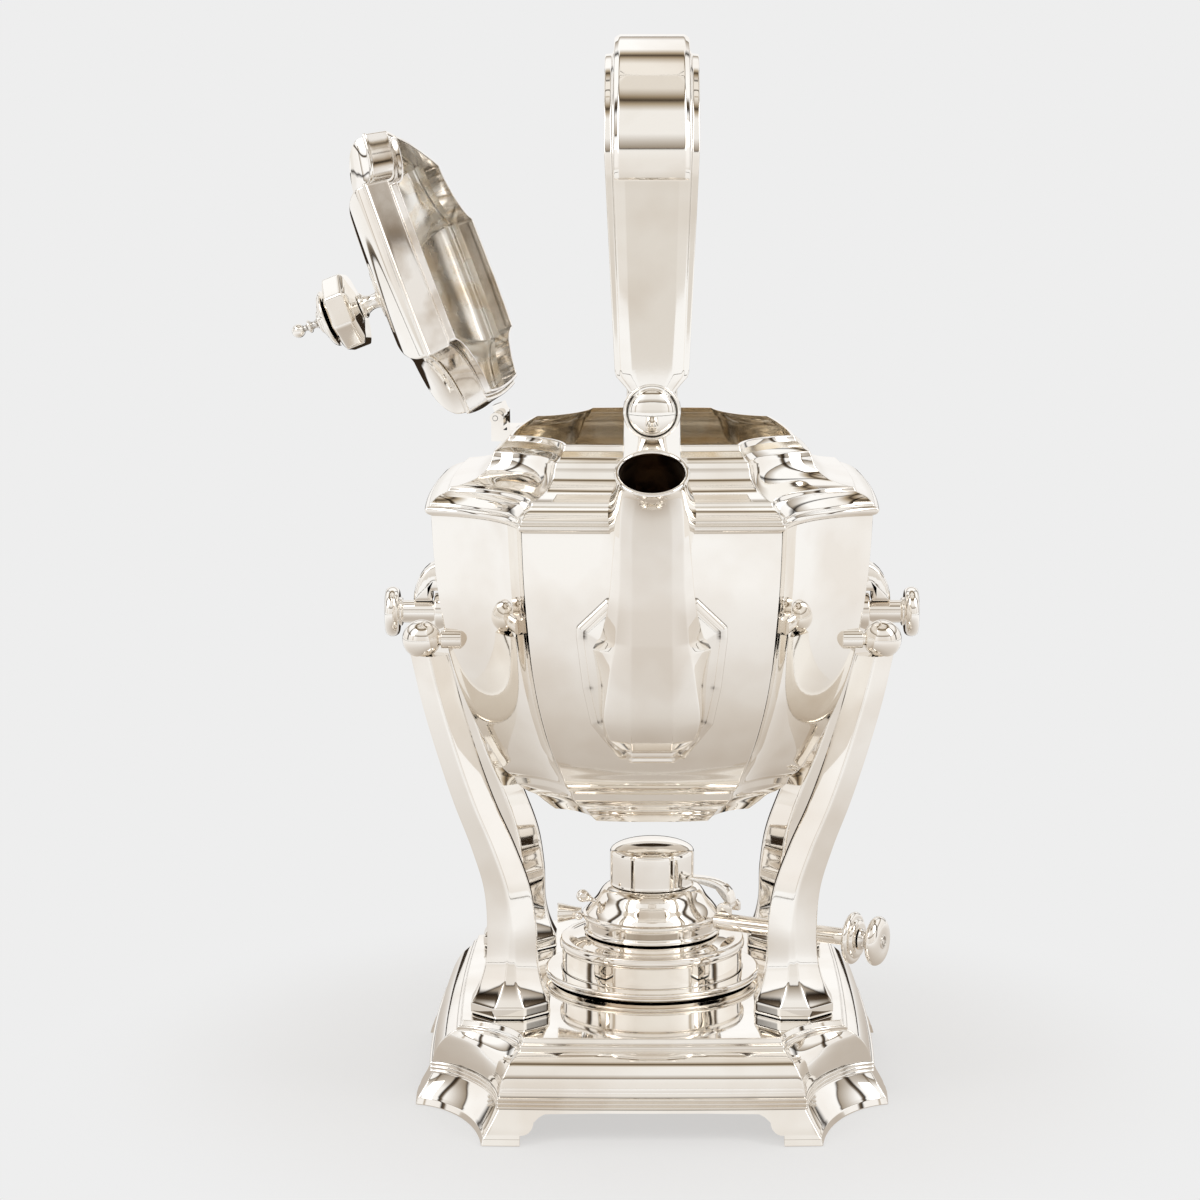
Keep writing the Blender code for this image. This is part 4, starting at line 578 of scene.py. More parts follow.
paintBand()
bezel = {"depth": 1.8, "gap": 0.6, "wall": 0.9, "height": 3.0}
seatHalf = rimHalf - (kettle["wall"] + bezel["gap"]) * mm
bandHalf = lidWidth * (1 - 0.036) - (lid["wall"] + lid["seat"]) * mm
bezelLine = softLine([(bandHalf, bezel["height"] * mm, 1), (bandHalf, 0, 1), (seatHalf, 0, 1),
                      (seatHalf, -bezel["depth"] * mm, 1), (seatHalf - bezel["wall"] * mm, -bezel["depth"] * mm, 1),
                      (seatHalf - bezel["wall"] * mm, bezel["height"] * mm, 1)], 0.2 * mm, 2)
makePiece("lidBezel", "lid", kettleRings(bezelLine[:, 0], lidFoot + bezelLine[:, 1], kettle["rimTaper"]), "lid_bezel",
          turn=lidTurn, closed=True, finish=bandSilver)
plateHalf = lidWidth * (1 - 0.036) * lid["plateShare"]
plateHigh = lid["plateHeight"] * mm
plateLine = softLine([(plateHalf, lidTop + 0.3 * mm, 1), (plateHalf, lidTop + plateHigh * 0.7, 1),
                      (plateHalf - plateHigh * 0.5, lidTop + plateHigh, 1)], 0.2 * mm, 3)
makePiece("lidPlate", "lid", kettleRings(plateLine[:, 0], plateLine[:, 1]), "lid_plate", turn=lidTurn)

knob = {"spoolHeight": 8.2, "spoolRadius": 4.0, "waist": 0.58, "nutAcross": 12.2, "nutHeight": 9.8, "nutLand": 0.56,
        "finialHeight": 13.0, "finialRadius": 8.8, "ball": 2.1, "stud": 2.1, "fixRadius": 4.2, "fixHeight": 2.2,
        "gap": 0.3}


def makeKnob():
    # the knob stands on the plate: flanged spool, eight-sided nut, stepped finial with its ball
    z = lidTop / mm + lid["plateHeight"] + knob["gap"]
    r, h = knob["spoolRadius"], knob["spoolHeight"]
    rows = [(0, z + h, 1), (r * 0.98, z + h, 1), (r, z + h * 0.93, 1), (r * 0.74, z + h * 0.84, 1),
            (r * knob["waist"], z + h * 0.62, 0), (r * knob["waist"], z + h * 0.45, 0), (r * 0.72, z + h * 0.24, 1),
            (r, z + h * 0.18, 0), (r * 1.02, z + h * 0.10, 0), (r * 0.9, z + h * 0.06, 1), (r, z, 1), (0, z, 1)]
    makePiece("knobSpool", "lid", lathe(np.array(rows) * (mm, mm, 1)), "knob_spool", turn=lidTurn)
    z += h + knob["gap"]
    r, h = knob["nutAcross"], knob["nutHeight"]
    side = h * (1 - knob["nutLand"]) / 2
    rows = [(0.40, 0, 1), (0.46, 0.02 * h, 0), (0.62, side * 0.30, 0), (0.84, side * 0.55, 0), (1.0, side, 1),
            (1.0, h - side, 1), (0.84, h - side * 0.55, 0), (0.70, h - side * 0.22, 0), (0.62, h, 1)]
    line = softLine(np.array(rows) * (r * mm, mm, 1), 0.35 * mm, 5)
    angle = (np.arange(8) + 0.5) * np.pi / 4
    ring = roundedRing(np.stack([np.cos(angle), np.sin(angle)], 1), 0.06, 6)
    grid = np.concatenate([ring[None] * line[:, :1, None], np.broadcast_to(line[:, 1:2, None] + z * mm,
                                                                          (len(line), len(ring), 1))], -1)
    makePiece("knobNut", "lid", grid, "knob_nut", turn=lidTurn)
    z += h + knob["gap"]
    r, h, ball = knob["finialRadius"], knob["finialHeight"], knob["ball"]
    top = z + h - ball * 1.02
    turns = np.linspace(0.04, np.pi * 0.86, 7)
    rows = [(ball * math.sin(turn), top + ball * math.cos(turn), 0) for turn in turns]
    neck = ball * 0.5
    rows[-1] = (*rows[-1][:2], 1)
    rows += [(neck, top - ball * 1.4, 0), (ball * 0.95, top - ball * 1.65, 1), (ball * 0.95, top - ball * 1.95, 1),
             (neck * 1.1, top - ball * 2.25, 0), (neck * 1.3, z + h * 0.36, 0), (r * 0.30, z + h * 0.30, 1),
             (r * 0.40, z + h * 0.27, 0), (r * 0.42, z + h * 0.22, 1), (r * 0.62, z + h * 0.19, 0),
             (r * 0.70, z + h * 0.13, 1), (r * 0.92, z + h * 0.10, 0), (r, z + h * 0.04, 1), (r, z, 1), (0, z, 1)]
    makePiece("knobFinial", "lid", lathe(np.array(rows) * (mm, mm, 1), radius=0.2 * mm), "knob_finial", turn=lidTurn)
    z = lidTop / mm - lid["wall"] - knob["fixHeight"] - knob["gap"] * 2
    angle = np.arange(6) * np.pi / 3
    outline = np.stack([np.cos(angle), np.sin(angle)], 1) * knob["fixRadius"] * mm
    grid = slab(outline, knob["fixHeight"] * mm, 0.25 * mm, (0, 0, (z + knob["fixHeight"] / 2) * mm), (1, 0, 0),
                (0, 1, 0))
    makePiece("knobFixingNut", "lid", grid, "knob_fixing_nut", turn=lidTurn)


makeKnob()
print("lid")

# bail handle: strap over an arch, a raised block over its top, eyes and domed bolts
handle = {"pivotZ": 211.3, "pivotY": 62.1, "thickness": 5.6, "bevel": 1.6, "topZ": 310.2, "archRadius": 33.0,
          "lowHalf": 10.0, "highHalf": 13.5, "facet": 0.56, "ringRadius": 8.2, "headRadius": 6.7, "headHeight": 3.6,
          "strapStart": 0.065, "gripStart": 0.985, "gripHalf": 10.8, "gripThickness": 3.6, "gap": 0.3,
          "postThickness": 3.0, "postHalf": 8.0, "pin": 2.1}


def archPath(rise, turns, flats, gripped=False):
    # up the front, a quarter circle, along the top and down the rear: places and outward directions in the YZ plane
    y, bend = handle["pivotY"] * mm, (handle["topZ"] - handle["archRadius"]) * mm
    radius = handle["archRadius"] * mm
    low = handle["pivotZ"] * mm
    up = np.linspace(handle["gripStart" if gripped else "strapStart"], 1, rise, endpoint=False)
    places = [np.stack([np.full(rise, -y), low + up * (bend - low)], 1)]
    outs = [np.tile([[-1.0, 0.0]], (rise, 1))]
    angle = np.linspace(0, np.pi / 2, turns)
    out = np.stack([-np.cos(angle), np.sin(angle)], 1)
    places.append(np.array([radius - y, bend]) + out * radius)
    outs.append(out)
    flat = np.linspace(radius - y, 0, flats)[1:]
    places.append(np.stack([flat, np.full(len(flat), bend + radius)], 1))
    outs.append(np.tile([[0.0, 1.0]], (len(flat), 1)))
    place, out = np.vstack(places), np.vstack(outs)
    mirror = np.array([-1, 1])
    return np.vstack([place, place[-2::-1] * mirror]), np.vstack([out, out[-2::-1] * mirror])


def strapHalf(place):
    rise = (place[:, 1] / mm - handle["pivotZ"]) / (handle["topZ"] - handle["pivotZ"])
    wide = handle["lowHalf"] + (handle["highHalf"] - handle["lowHalf"]) * np.minimum(rise / 0.75, 1)
    return wide * np.interp(rise, [0, 0.058, 0.103, 0.104], [0.60, 0.64, 1, 1]) * mm


def sweep(place, out, rows):
    # corner rows of (across, lift) set on the path: lift goes along the path's outward direction
    points = np.stack([np.stack([across, place[:, 0] + out[:, 0] * lift, place[:, 1] + out[:, 1] * lift], 1)
                       for across, lift in rows], 1)
    return roundedRing(points, 0.35 * mm, 4, 5)


place, out = archPath(46, 22, 8)
wide = strapHalf(place)
thick, bevel = handle["thickness"] * mm / 2, handle["bevel"] * mm
facet = wide * handle["facet"]
full = np.ones_like(wide)
railRows = [(facet, 1.0), (facet + (wide - facet) * 0.62, 0.68), (facet + (wide - facet) * 0.66, 0.44),
            (wide, 0.36)]
outside = [(side * w, thick * lift * full) for side, rows in ((-1, railRows[::-1]), (1, railRows)) for w, lift in rows]
under = [(wide, -(thick - bevel) * full), (facet, -thick * full)]
under += [(-across, lift) for across, lift in reversed(under)]
makePiece("handleStrap", "handle", sweep(place, out, outside + under), "bail_handle")

gripPlace, gripOut = archPath(2, 22, 8, True)
steps = np.minimum(np.arange(len(gripPlace)), np.arange(len(gripPlace))[::-1])
rise = np.interp(steps, [0, 1, 2, 3], [0.45, 0.86, 0.97, 1.0]) * handle["gripThickness"] * mm
gripWide = np.interp(steps, [0, 1, 3], [0.93, 0.98, 1]) * handle["gripHalf"] * mm
seatLift = thick + handle["gap"] * mm
gripRows = [(-gripWide * 0.86, seatLift + rise), (gripWide * 0.86, seatLift + rise), (gripWide, seatLift + rise * 0.72),
            (gripWide, seatLift + 0 * rise), (-gripWide, seatLift + 0 * rise), (-gripWide, seatLift + rise * 0.72)]
makePiece("handleGripBlock", "handle", sweep(gripPlace, gripOut, gripRows), "handle_grip")


def makeHandleEnd(side, end):
    y, z = handle["pivotY"] * mm, handle["pivotZ"] * mm
    t, r, pin = handle["thickness"] * mm, handle["ringRadius"] * mm, (handle["pin"] + handle["gap"]) * mm
    rows = [(r, -t / 2 + 0.3 * mm, 1), (r, t / 2 - 0.5 * mm, 1), (r * 0.95, t / 2 + 0.15 * mm, 0),
            (r * 0.87, t / 2, 1), (r * 0.84, t / 2 - 0.9 * mm, 1), (pin, t / 2 - 0.9 * mm, 1), (pin, -t / 2, 1),
            (r * 0.94, -t / 2, 1)]
    makePiece(f"handleEye{end}", "handle", lathe(rows, (0, side * y, z), (0, side, 0)), closed=True)
    head, high = handle["headRadius"] * mm, handle["headHeight"] * mm
    turns = np.linspace(0.03, np.pi / 2, 9)
    dome = [(head * 0.97 * math.sin(turn), high * (0.22 + 0.78 * math.cos(turn)), 0) for turn in turns]
    dome[-1] = (*dome[-1][:2], 1)
    shank = t + (handle["gap"] * 2 + handle["postThickness"]) * mm
    rows = [*dome, (head, high * 0.16, 1), (head, 0, 1), (handle["pin"] * mm, 0, 1), (handle["pin"] * mm, -shank, 1),
            (0, -shank, 1)]
    foot = (0, side * (y + t / 2 + handle["gap"] * mm), z)
    makePiece(f"pivotBolt{end}", "kettle", lathe(rows, foot, (0, side, 0)), f"pivot_bolt_{end.lower()}")
    low = (kettle["topZ"] + kettle["shoulderHeight"] * 0.42) * mm
    half = handle["postHalf"] * mm
    angle = np.linspace(0, np.pi, 13)
    flare = np.linspace(0, 1, 7)[:-1]
    right = np.stack([half * (1.12 - 0.12 * np.sin(flare * np.pi / 2)), low + flare * (z - low)], 1)
    outline = np.vstack([right, np.stack([half * np.cos(angle), z + half * np.sin(angle)], 1),
                         right[::-1] * (-1, 1)])
    centreY = y - t / 2 - (handle["gap"] + handle["postThickness"] / 2) * mm
    grid = slab(outline, handle["postThickness"] * mm, 0.7 * mm, (0, side * centreY, 0), (1, 0, 0), (0, 0, 1),
                perSide=1)
    makePiece(f"handlePost{end}", "kettle", grid, f"handle_post_{end.lower()}")


makeHandleEnd(-1, "Front")
makeHandleEnd(1, "Rear")
print("handle")

# stand: base, legs, knuckles, lock pins
stand = {
    "halfWidth": 71.0, "height": 28.0, "bow": 1.0,
    "lowRatio": 1.13, "topRatio": 1.165, "reeds": 3, "reedSpan": (0.332, 0.462), "reedFoot": 0.930,
    "footReturn": 11.2, "footBlock": 2.8, "archHeight": 8.4, "archScroll": 7.2,
    "top": [(1.0, 0.780, 0.665, 0.727, 1), (1.0, 0.795, 0.665, 0.727, 1), (0.945, 0.803, 0.665, 0.727, 1),
            (0.935, 0.812, 0.665, 0.722, 0), (0.885, 0.820, 0.662, 0.70, 1), (0.875, 0.832, 0.662, 0.69, 1),
            (0.80, 0.868, 0.668, 0.66, 0), (0.70, 0.897, 0.672, 0.62, 0), (0.585, 0.917, 0.675, 0.58, 0),
            (0.475, 0.928, 0.676, 0.55, 1)],
    "skirt": [(0.32, 0.932, 0.677, 0.53, 1), (0.22, 0.955, 0.685, 0.525, 0), (0.10, 0.985, 0.693, 0.525, 1),
              (0.07, 0.992, 0.697, 0.525, 1), (0.0, 1.0, 0.697, 0.525, 1)],
}


def baseRows():
    rows = list(stand["top"])
    low, high = stand["reedSpan"]
    foot = stand["reedFoot"]
    step = (high - low) / stand["reeds"]
    for reed in range(stand["reeds"]):
        top = high - reed * step
        rows.append((top, foot, 0.676, 0.54, 1))
        rows += [(top - step * share, foot + lift, 0.676, 0.535, 0) for share, lift in
                 ((0.2, 0.0075), (0.5, 0.0105), (0.8, 0.0075))]
    rows.append((low, foot, 0.677, 0.53, 1))
    rows += stand["skirt"]
    inner = [(rows[-1][0], rows[-1][1] - 0.026, 0.697, 0.525, 1), (0.22, 0.928, 0.685, 0.525, 0),
             (0.46, 0.905, 0.676, 0.55, 0), (0.70, 0.87, 0.672, 0.62, 0), (0.90, 0.78, 0.665, 0.70, 1)]
    return rows + inner


def cutArches(piece):
    # the openings between the feet are cut through the skirt; their outline has a scroll at each upper corner
    low = stand["skirt"][-1]
    half = {"front": stand["halfWidth"] * low[2] - stand["footReturn"],
            "side": stand["halfWidth"] * stand["lowRatio"] * low[3] - stand["footReturn"]}
    tools = []
    for name, wide in half.items():
        turn = np.linspace(0, np.pi / 2, 8)
        inner = wide - stand["archScroll"]
        scroll = np.stack([wide - stand["archScroll"] * 0.55 * np.sin(turn) ** 0.9,
                           stand["footBlock"] + (stand["archHeight"] * 0.72 - stand["footBlock"]) * (1 - np.cos(turn))],
                          1)
        side = np.vstack([[wide, -4], [wide, stand["footBlock"]], scroll[1:],
                          [inner + 1.6, stand["archHeight"] * 0.88], [inner, stand["archHeight"] * 0.97],
                          [inner * 0.5, stand["archHeight"]]])
        outline = np.vstack([side, side[::-1] * (-1, 1)]) * mm
        deep = 400 * mm
        across, foot = ((1, 0, 0), (0, 0, 0)) if name == "front" else ((0, 1, 0), (0, 0, 0))
        grid = slab(outline, deep, 0.01 * mm, foot, across, (0, 0, 1), 0.05 * mm, 1)
        tools.append(makePiece(f"archCutter_{name}", "stand", grid))
    for tool in tools:
        cut = piece.modifiers.new(tool.name, "BOOLEAN")
        cut.object = tool
        cut.operation = "DIFFERENCE"
        cut.solver = "EXACT"
    bpy.context.view_layer.update()
    seen = piece.evaluated_get(bpy.context.evaluated_depsgraph_get())
    mesh = bpy.data.meshes.new_from_object(seen)
    piece.modifiers.clear()
    piece.data = mesh
    mesh.set_sharp_from_angle(angle=math.radians(38))
    for tool in tools:
        bpy.data.objects.remove(tool, do_unlink=True)


baseLine = softLine(baseRows(), 0.006, 5)
ratio = stand["lowRatio"] + (stand["topRatio"] - stand["lowRatio"]) * np.clip((baseLine[:, 0] - 0.5) * 2, 0, 1)
baseAcross = stand["halfWidth"] * mm * baseLine[:, 1]
reedLow, reedHigh = stand["reedSpan"]
# the valleys between the reeds take tarnish and painted shade
valleys = np.flatnonzero((baseLine[:, 1] < stand["reedFoot"] + 0.0022) & (baseLine[:, 0] > reedLow - 0.004)
                         & (baseLine[:, 0] < reedHigh + 0.004) & (baseLine[:, 1] > stand["reedFoot"] - 0.001))
basePiece = makePiece("standBase", "stand", planRings(
    baseAcross, baseAcross * ratio, baseAcross * baseLine[:, 2], baseAcross * ratio * baseLine[:, 3],
    baseLine[:, 0] * stand["height"] * mm, stand["bow"] * mm, kettle["scoop"]), "stand_base", dark=valleys)
cutArches(basePiece)

leg = {
    "footX": 42.4, "y": 37.2, "topZ": 136.6, "lean": 23.2, "wide": 23.6, "deep": 22.0, "ball": 5.7, "gap": 0.3,
    "line": [(0.0, 0.0, 0.98, 0.98, 1), (0.006, 0.0, 1.0, 1.0, 1), (0.030, 0.0, 1.0, 1.0, 1),
             (0.046, -0.001, 0.92, 0.92, 0), (0.074, -0.004, 0.81, 0.80, 0),
             (0.115, -0.012, 0.70, 0.67, 0), (0.24, -0.02, 0.62, 0.57, 0),
             (0.345, 0.035, 0.585, 0.53, 0), (0.46, 0.205, 0.555, 0.50, 0), (0.585, 0.44, 0.52, 0.48, 0),
             (0.72, 0.655, 0.50, 0.46, 0), (0.86, 0.845, 0.49, 0.45, 0), (1.0, 1.0, 0.47, 0.43, 1)],
    "trunnion": 2.1, "boss": 2.9, "eyeRadius": 6.0, "eyeWidth": 6.6,
}
lockPin = {"radius": 3.6, "z": 136.8, "headRadius": 7.9, "headThickness": 4.5, "headX": 84.5}
lug = {"thickness": 10.0, "rise": 12.4, "gap": 0.3, "reach": 5.9, "crown": 8.8}


def makeLeg(side, end):
    # eight corners a level: half width and half depth shrink with height while the centre leans outward
    name = ("Rear" if end > 0 else "Front") + ("Right" if side > 0 else "Left")
    node = "leg_" + ("rear_" if end > 0 else "front_") + ("right" if side > 0 else "left")
    foot = (stand["height"] + leg["gap"]) * mm
    table = np.array(leg["line"])
    table[:, 0] *= leg["topZ"] * mm - foot
    table[:, 1] *= leg["lean"] * mm
    line = softLine(table, 0.45 * mm, 8)
    share = line[:, 0] / (leg["topZ"] * mm - foot)
    blunt = np.interp(share, [0.03, 0.10, 0.3], [0.36, 0.18, 0.06])
    flat = np.interp(share, [0.03, 0.10], [0.36, 0.34])
    half, deep = line[:, 2] * leg["wide"] * mm / 2, line[:, 3] * leg["deep"] * mm / 2
    corners = [(half * blunt, -deep), (half, -deep * flat), (half, deep * flat), (half * blunt, deep),
               (-half * blunt, deep), (-half, deep * flat), (-half, -deep * flat), (-half * blunt, -deep)]
    centreX = leg["footX"] * mm + line[:, 1]
    points = np.stack([np.stack([side * (centreX + x), end * leg["y"] * mm + y, foot + line[:, 0]], 1)
                       for x, y in corners], 1)
    makePiece(f"leg{name}", "stand", roundedRing(points, 0.5 * mm, 4, 6), node)
    topX = leg["footX"] + leg["lean"]
    if end < 0:
        x, z = (topX + leg["ball"] * 0.4) * mm, (leg["topZ"] + 4.6) * mm
        turns = np.linspace(0.03, np.pi - 0.03, 25)
        rows = [(leg["ball"] * mm * math.sin(turn), leg["ball"] * mm * math.cos(turn), 0) for turn in turns]
        makePiece(f"legBall{name}", "stand", lathe(rows, (side * x, end * leg["y"] * mm, z), (0, 0, 1), 72, perSpan=1))
    else:
        r, w, hole = leg["eyeRadius"] * mm, leg["eyeWidth"] * mm, (lockPin["radius"] + leg["gap"]) * mm
        rows = [(hole, -w / 2, 1), (r, -w / 2, 1), (r * 1.02, 0, 0), (r, w / 2, 1), (hole, w / 2, 1)]
        foot = (side * topX * mm, end * leg["y"] * mm, lockPin["z"] * mm)
        makePiece(f"legEye{name}", "stand", lathe(rows, foot, (side, 0, 0), 64, 0.6 * mm), closed=True)


def makeLockPin(side):
    name = "Right" if side > 0 else "Left"
    t, r, pin = lockPin["headThickness"], lockPin["headRadius"], lockPin["radius"]
    inner = leg["footX"] + leg["lean"] - leg["eyeWidth"] / 2 + leg["gap"]
    long = lockPin["headX"] - t - inner
    rows = [(0, t, 1), (r * 0.74, t, 1), (r * 0.90, t * 0.93, 0), (r * 0.98, t * 0.72, 0), (r, t * 0.5, 0),
            (r * 0.97, t * 0.26, 0), (r * 0.88, t * 0.06, 0), (r * 0.78, 0, 1), (pin * 1.25, 0, 1),
            (pin * 1.25, -t * 0.18, 1), (pin, -t * 0.24, 1), (pin, -long + t * 0.15, 1), (pin * 0.8, -long, 1),
            (0, -long, 1)]
    foot = (side * (lockPin["headX"] - t) * mm, leg["y"] * mm, lockPin["z"] * mm)
    makePiece(f"lockPin{name}", f"lock_pin_{name.lower()}", lathe(np.array(rows) * (mm, mm, 1), foot, (side, 0, 0), 72),
              f"lock_pin_{name.lower()}")


def makeTrunnion(side):
    name = "Right" if side > 0 else "Left"
    ballX = leg["footX"] + leg["lean"] + leg["ball"] * 0.4
    start = ballX - leg["ball"] - 6.0
    shoulder = ballX - leg["ball"] * 0.96 - leg["gap"]
    stem, boss = leg["trunnion"], leg["boss"]
    rows = [(0, 0, 1), (boss, 0, 1), (boss, shoulder - start, 1), (stem, shoulder - start, 1),
            (stem, ballX - start, 1), (0, ballX - start, 1)]
    foot = (side * start * mm, -leg["y"] * mm, (leg["topZ"] + 4.6) * mm)
    makePiece(f"trunnion{name}", "kettle", lathe(np.array(rows) * (mm, mm, 1), foot, (side, 0, 0), 48, 0.25 * mm),
              f"trunnion_{name.lower()}")


def makeRestLug(side):
    name = "Right" if side > 0 else "Left"
    eyeX = leg["footX"] + leg["lean"]
    step = eyeX + leg["eyeWidth"] / 2 + leg["gap"] * 2
    outer = step + lug["reach"]
    low = lockPin["z"] + lockPin["radius"] + lug["gap"]
    bridge = lockPin["z"] + leg["eyeRadius"] + leg["gap"] * 4
    inner = kettle["halfWidth"] * 0.90
    turn = np.linspace(0, np.pi / 2, 8)
    crown = np.stack([outer - lug["crown"] * (1 - np.cos(turn)), low + lug["rise"] * np.sin(turn)], 1)
    outline = np.vstack([[outer, low], crown[1:], [inner, low + lug["rise"] * 1.02], [inner, bridge], [step, bridge],
                         [step, low]]) * mm * (side, 1)
    grid = slab(outline, lug["thickness"] * mm, 1.4 * mm, (0, leg["y"] * mm, 0), (1, 0, 0), (0, 0, 1), 0.3 * mm, 1)
    makePiece(f"restLug{name}", "kettle", grid, f"rest_lug_{name.lower()}")


for side in (-1, 1):
    for end in (-1, 1):
        makeLeg(side, end)
    makeLockPin(side)
    makeTrunnion(side)
    makeRestLug(side)
print("stand")

# lamp: turned pieces on one axis, with the regulator, the filler and the snuffer's lever beside them
lamp = {
    "tray": 33.3, "trayHeight": 3.0, "trayLip": 4.4, "drum": 27.9, "drumLip": 0.7, "drumHeight": 11.2, "drumWall": 1.0,
    "neck": 12.0, "neckLip": 2.2, "rise": 2.0, "collar": 21.6, "collarHeight": 14.2, "collarWall": 1.0,
    "collarTop": 15.0, "tube": 7.0, "tubeWall": 1.5, "flange": 11.6, "tubeRise": 6.0, "tubeDrop": 15.0,
    "wickGap": 0.4, "wickShow": 0.4, "cap": 13.0, "capHeight": 10.0, "capDome": 3.8, "capWall": 0.8, "gap": 0.3,
}


def makeLamp():
    gap = lamp["gap"]
    trayLow = stand["height"] + gap
    drumLow = trayLow + lamp["trayHeight"] - lamp["trayLip"] * 0.4
    drumTop = drumLow + lamp["drumHeight"]
    neckZ = drumTop + lamp["rise"]
    collarLow = neckZ + gap
    collarTop = collarLow + lamp["collarHeight"]
    flangeLow = collarTop + gap

    def turned(name, body, rows, node, closed=False, radius=0.25, **more):
        grid = lathe(np.array(rows, float) * (mm, mm, 1), steps=120, radius=radius * mm)
        return makePiece(name, body, grid[:-1] if closed else grid, node, closed=closed, **more)

    r, top, lip = lamp["tray"], trayLow + lamp["trayHeight"], lamp["drum"] + gap
    floor = drumLow - gap
    turned("lampTray", "stand", [
        (lip, floor, 1), (lip, top, 1), (r * 0.96, top + 0.05, 0), (r * 0.985, top, 0), (r, top - 0.5, 0),
        (r * 0.985, top - 1.05, 1), (r * 0.965, top - 1.15, 1), (r * 0.965, top - 1.4, 1), (r * 0.985, top - 1.5, 1),
        (r * 0.99, top - 1.9, 0), (r * 0.975, top - 2.3, 1), (r * 0.95, trayLow, 1), (lamp["neck"], trayLow, 1),
        (lamp["neck"], floor, 1), (lip, floor, 1)], "lamp_tray", closed=True)
    r, w, h, out = lamp["drum"], lamp["drumWall"], lamp["drumHeight"], lamp["drumLip"]
    turned("lampDrum", "stand", [
        (0, drumLow, 1), (r, drumLow, 1), (r, drumTop - h * 0.26, 1), (r + out, drumTop - h * 0.21, 1),
        (r + out, drumTop - h * 0.08, 0), (r + out * 0.6, drumTop - 0.1, 0), (r - out * 0.5, drumTop + 0.15, 0),
        (r - 1.6, drumTop + 0.05, 1), (r - 2.2, drumTop + 0.25, 1), (r * 0.80, neckZ - lamp["rise"] * 0.25, 0),
        (lamp["neck"] + lamp["neckLip"], neckZ, 1), (lamp["neck"], neckZ, 1), (lamp["neck"], neckZ - w, 1),
        (r * 0.84, neckZ - lamp["rise"] * 0.42 - w, 0), (r - w, drumTop - h * 0.25, 1), (r - w, drumLow + w, 1),
        (0, drumLow + w, 1)], "lamp_reservoir")
    c, t, w = lamp["collar"], lamp["collarHeight"], lamp["collarWall"]
    hole = lamp["tube"] + gap * 3
    turned("burnerCollar", "stand", [
        (hole, collarTop - w, 1), (hole, collarTop, 1), (lamp["collarTop"] - w, collarTop, 0),
        (lamp["collarTop"], collarTop - t * 0.05, 0), (c * 0.80, collarTop - t * 0.28, 0),
        (c * 0.92, collarTop - t * 0.50, 0), (c * 0.955, collarTop - t * 0.585, 1), (c, collarTop - t * 0.61, 0),
        (c * 1.0, collarTop - t * 0.68, 0), (c * 0.965, collarTop - t * 0.715, 1), (c * 0.955, collarTop - t * 0.90, 1),
        (c * 0.975, collarTop - t * 0.93, 0), (c * 0.985, collarTop - t * 0.97, 0), (c * 0.97, collarLow, 1),
        (lamp["neck"] + w, collarLow, 1), (lamp["neck"] + w, collarLow + w, 1), (c * 0.90, collarLow + w, 1),
        (c * 0.90, collarTop - t * 0.62, 1), (lamp["collarTop"] - w * 1.6, collarTop - w, 1),
        (hole, collarTop - w, 1)], "burner_collar", closed=True)
    r, w = lamp["tube"], lamp["tubeWall"]
    tubeTop, tubeLow = flangeLow + lamp["tubeRise"], flangeLow - lamp["tubeDrop"]
    flangeHigh = flangeLow + lamp["collarWall"] * 0.6
    turned("wickTube", "stand", [
        (r - w, tubeLow, 1), (r - w, tubeTop, 1), (r, tubeTop, 1), (r, flangeHigh, 1), (lamp["flange"], flangeHigh, 1),
        (lamp["flange"], flangeLow, 1), (r, flangeLow, 1), (r, tubeLow, 1), (r - w, tubeLow, 1)], "wick_tube",
        closed=True, radius=0.15, finish=brass, slot="lamp_brass")
    wickR, wickLow = r - w - lamp["wickGap"], drumLow + lamp["drumWall"] + 2.0
    turned("plaitedWickCord", "wick", [(0, wickLow, 1), (wickR, wickLow, 1), (wickR, tubeTop + lamp["wickShow"], 1),
                                       (0, tubeTop + lamp["wickShow"], 1)], "wick", radius=0.6, finish=cotton,
           slot="cotton_wick")
    low = flangeLow + lamp["collarWall"] * 0.35
    side, r, w = low + lamp["capHeight"], lamp["cap"], lamp["capWall"]
    turns = np.linspace(0.04, np.pi / 2 - 0.22, 8)
    dome = [(r * math.sin(turn), side + lamp["capDome"] * math.cos(turn), 0) for turn in turns]
    inside = [((r - w) * math.sin(turn), side - w + lamp["capDome"] * math.cos(turn), 0) for turn in turns]
    turned("snufferCap", "snuffer", [*dome, (r, side + 0.1, 1), (r, low + 0.6, 1), (r + 0.12, low + 0.3, 0),
                                     (r, low, 1),
                                     (r - w, low, 1), (r - w, side - w, 1), *inside[::-1]], "snuffer_cap", radius=0.5)
    return collarLow, low


collarLow, capLow = makeLamp()

fittings = {
    "tube": 2.6, "zShare": 0.36, "reach": 66.0, "disc": 7.9, "discThick": 3.6, "neck": 3.4, "neckLong": 3.4,
    "knob": 7.5, "knobThick": 4.0, "leverReach": 26.2, "leverWide": 4.2,
    "leverThick": 1.1, "barrel": 1.6, "pin": 0.6, "ear": 1.6, "block": 4.6, "filler": 1.9, "mouth": 3.1,
    "fillerLong": 7.5, "plug": 1.3, "stud": 2.0, "stem": 0.8, "stemLong": 2.6, "studAngle": 196,
}
ahead = np.array(joints["wick_knob_turn"]["axis"], float)
ahead /= np.linalg.norm(ahead)
aside = np.array([-ahead[1], ahead[0], 0])
tubeZ = collarLow + lamp["collarHeight"] * fittings["zShare"]


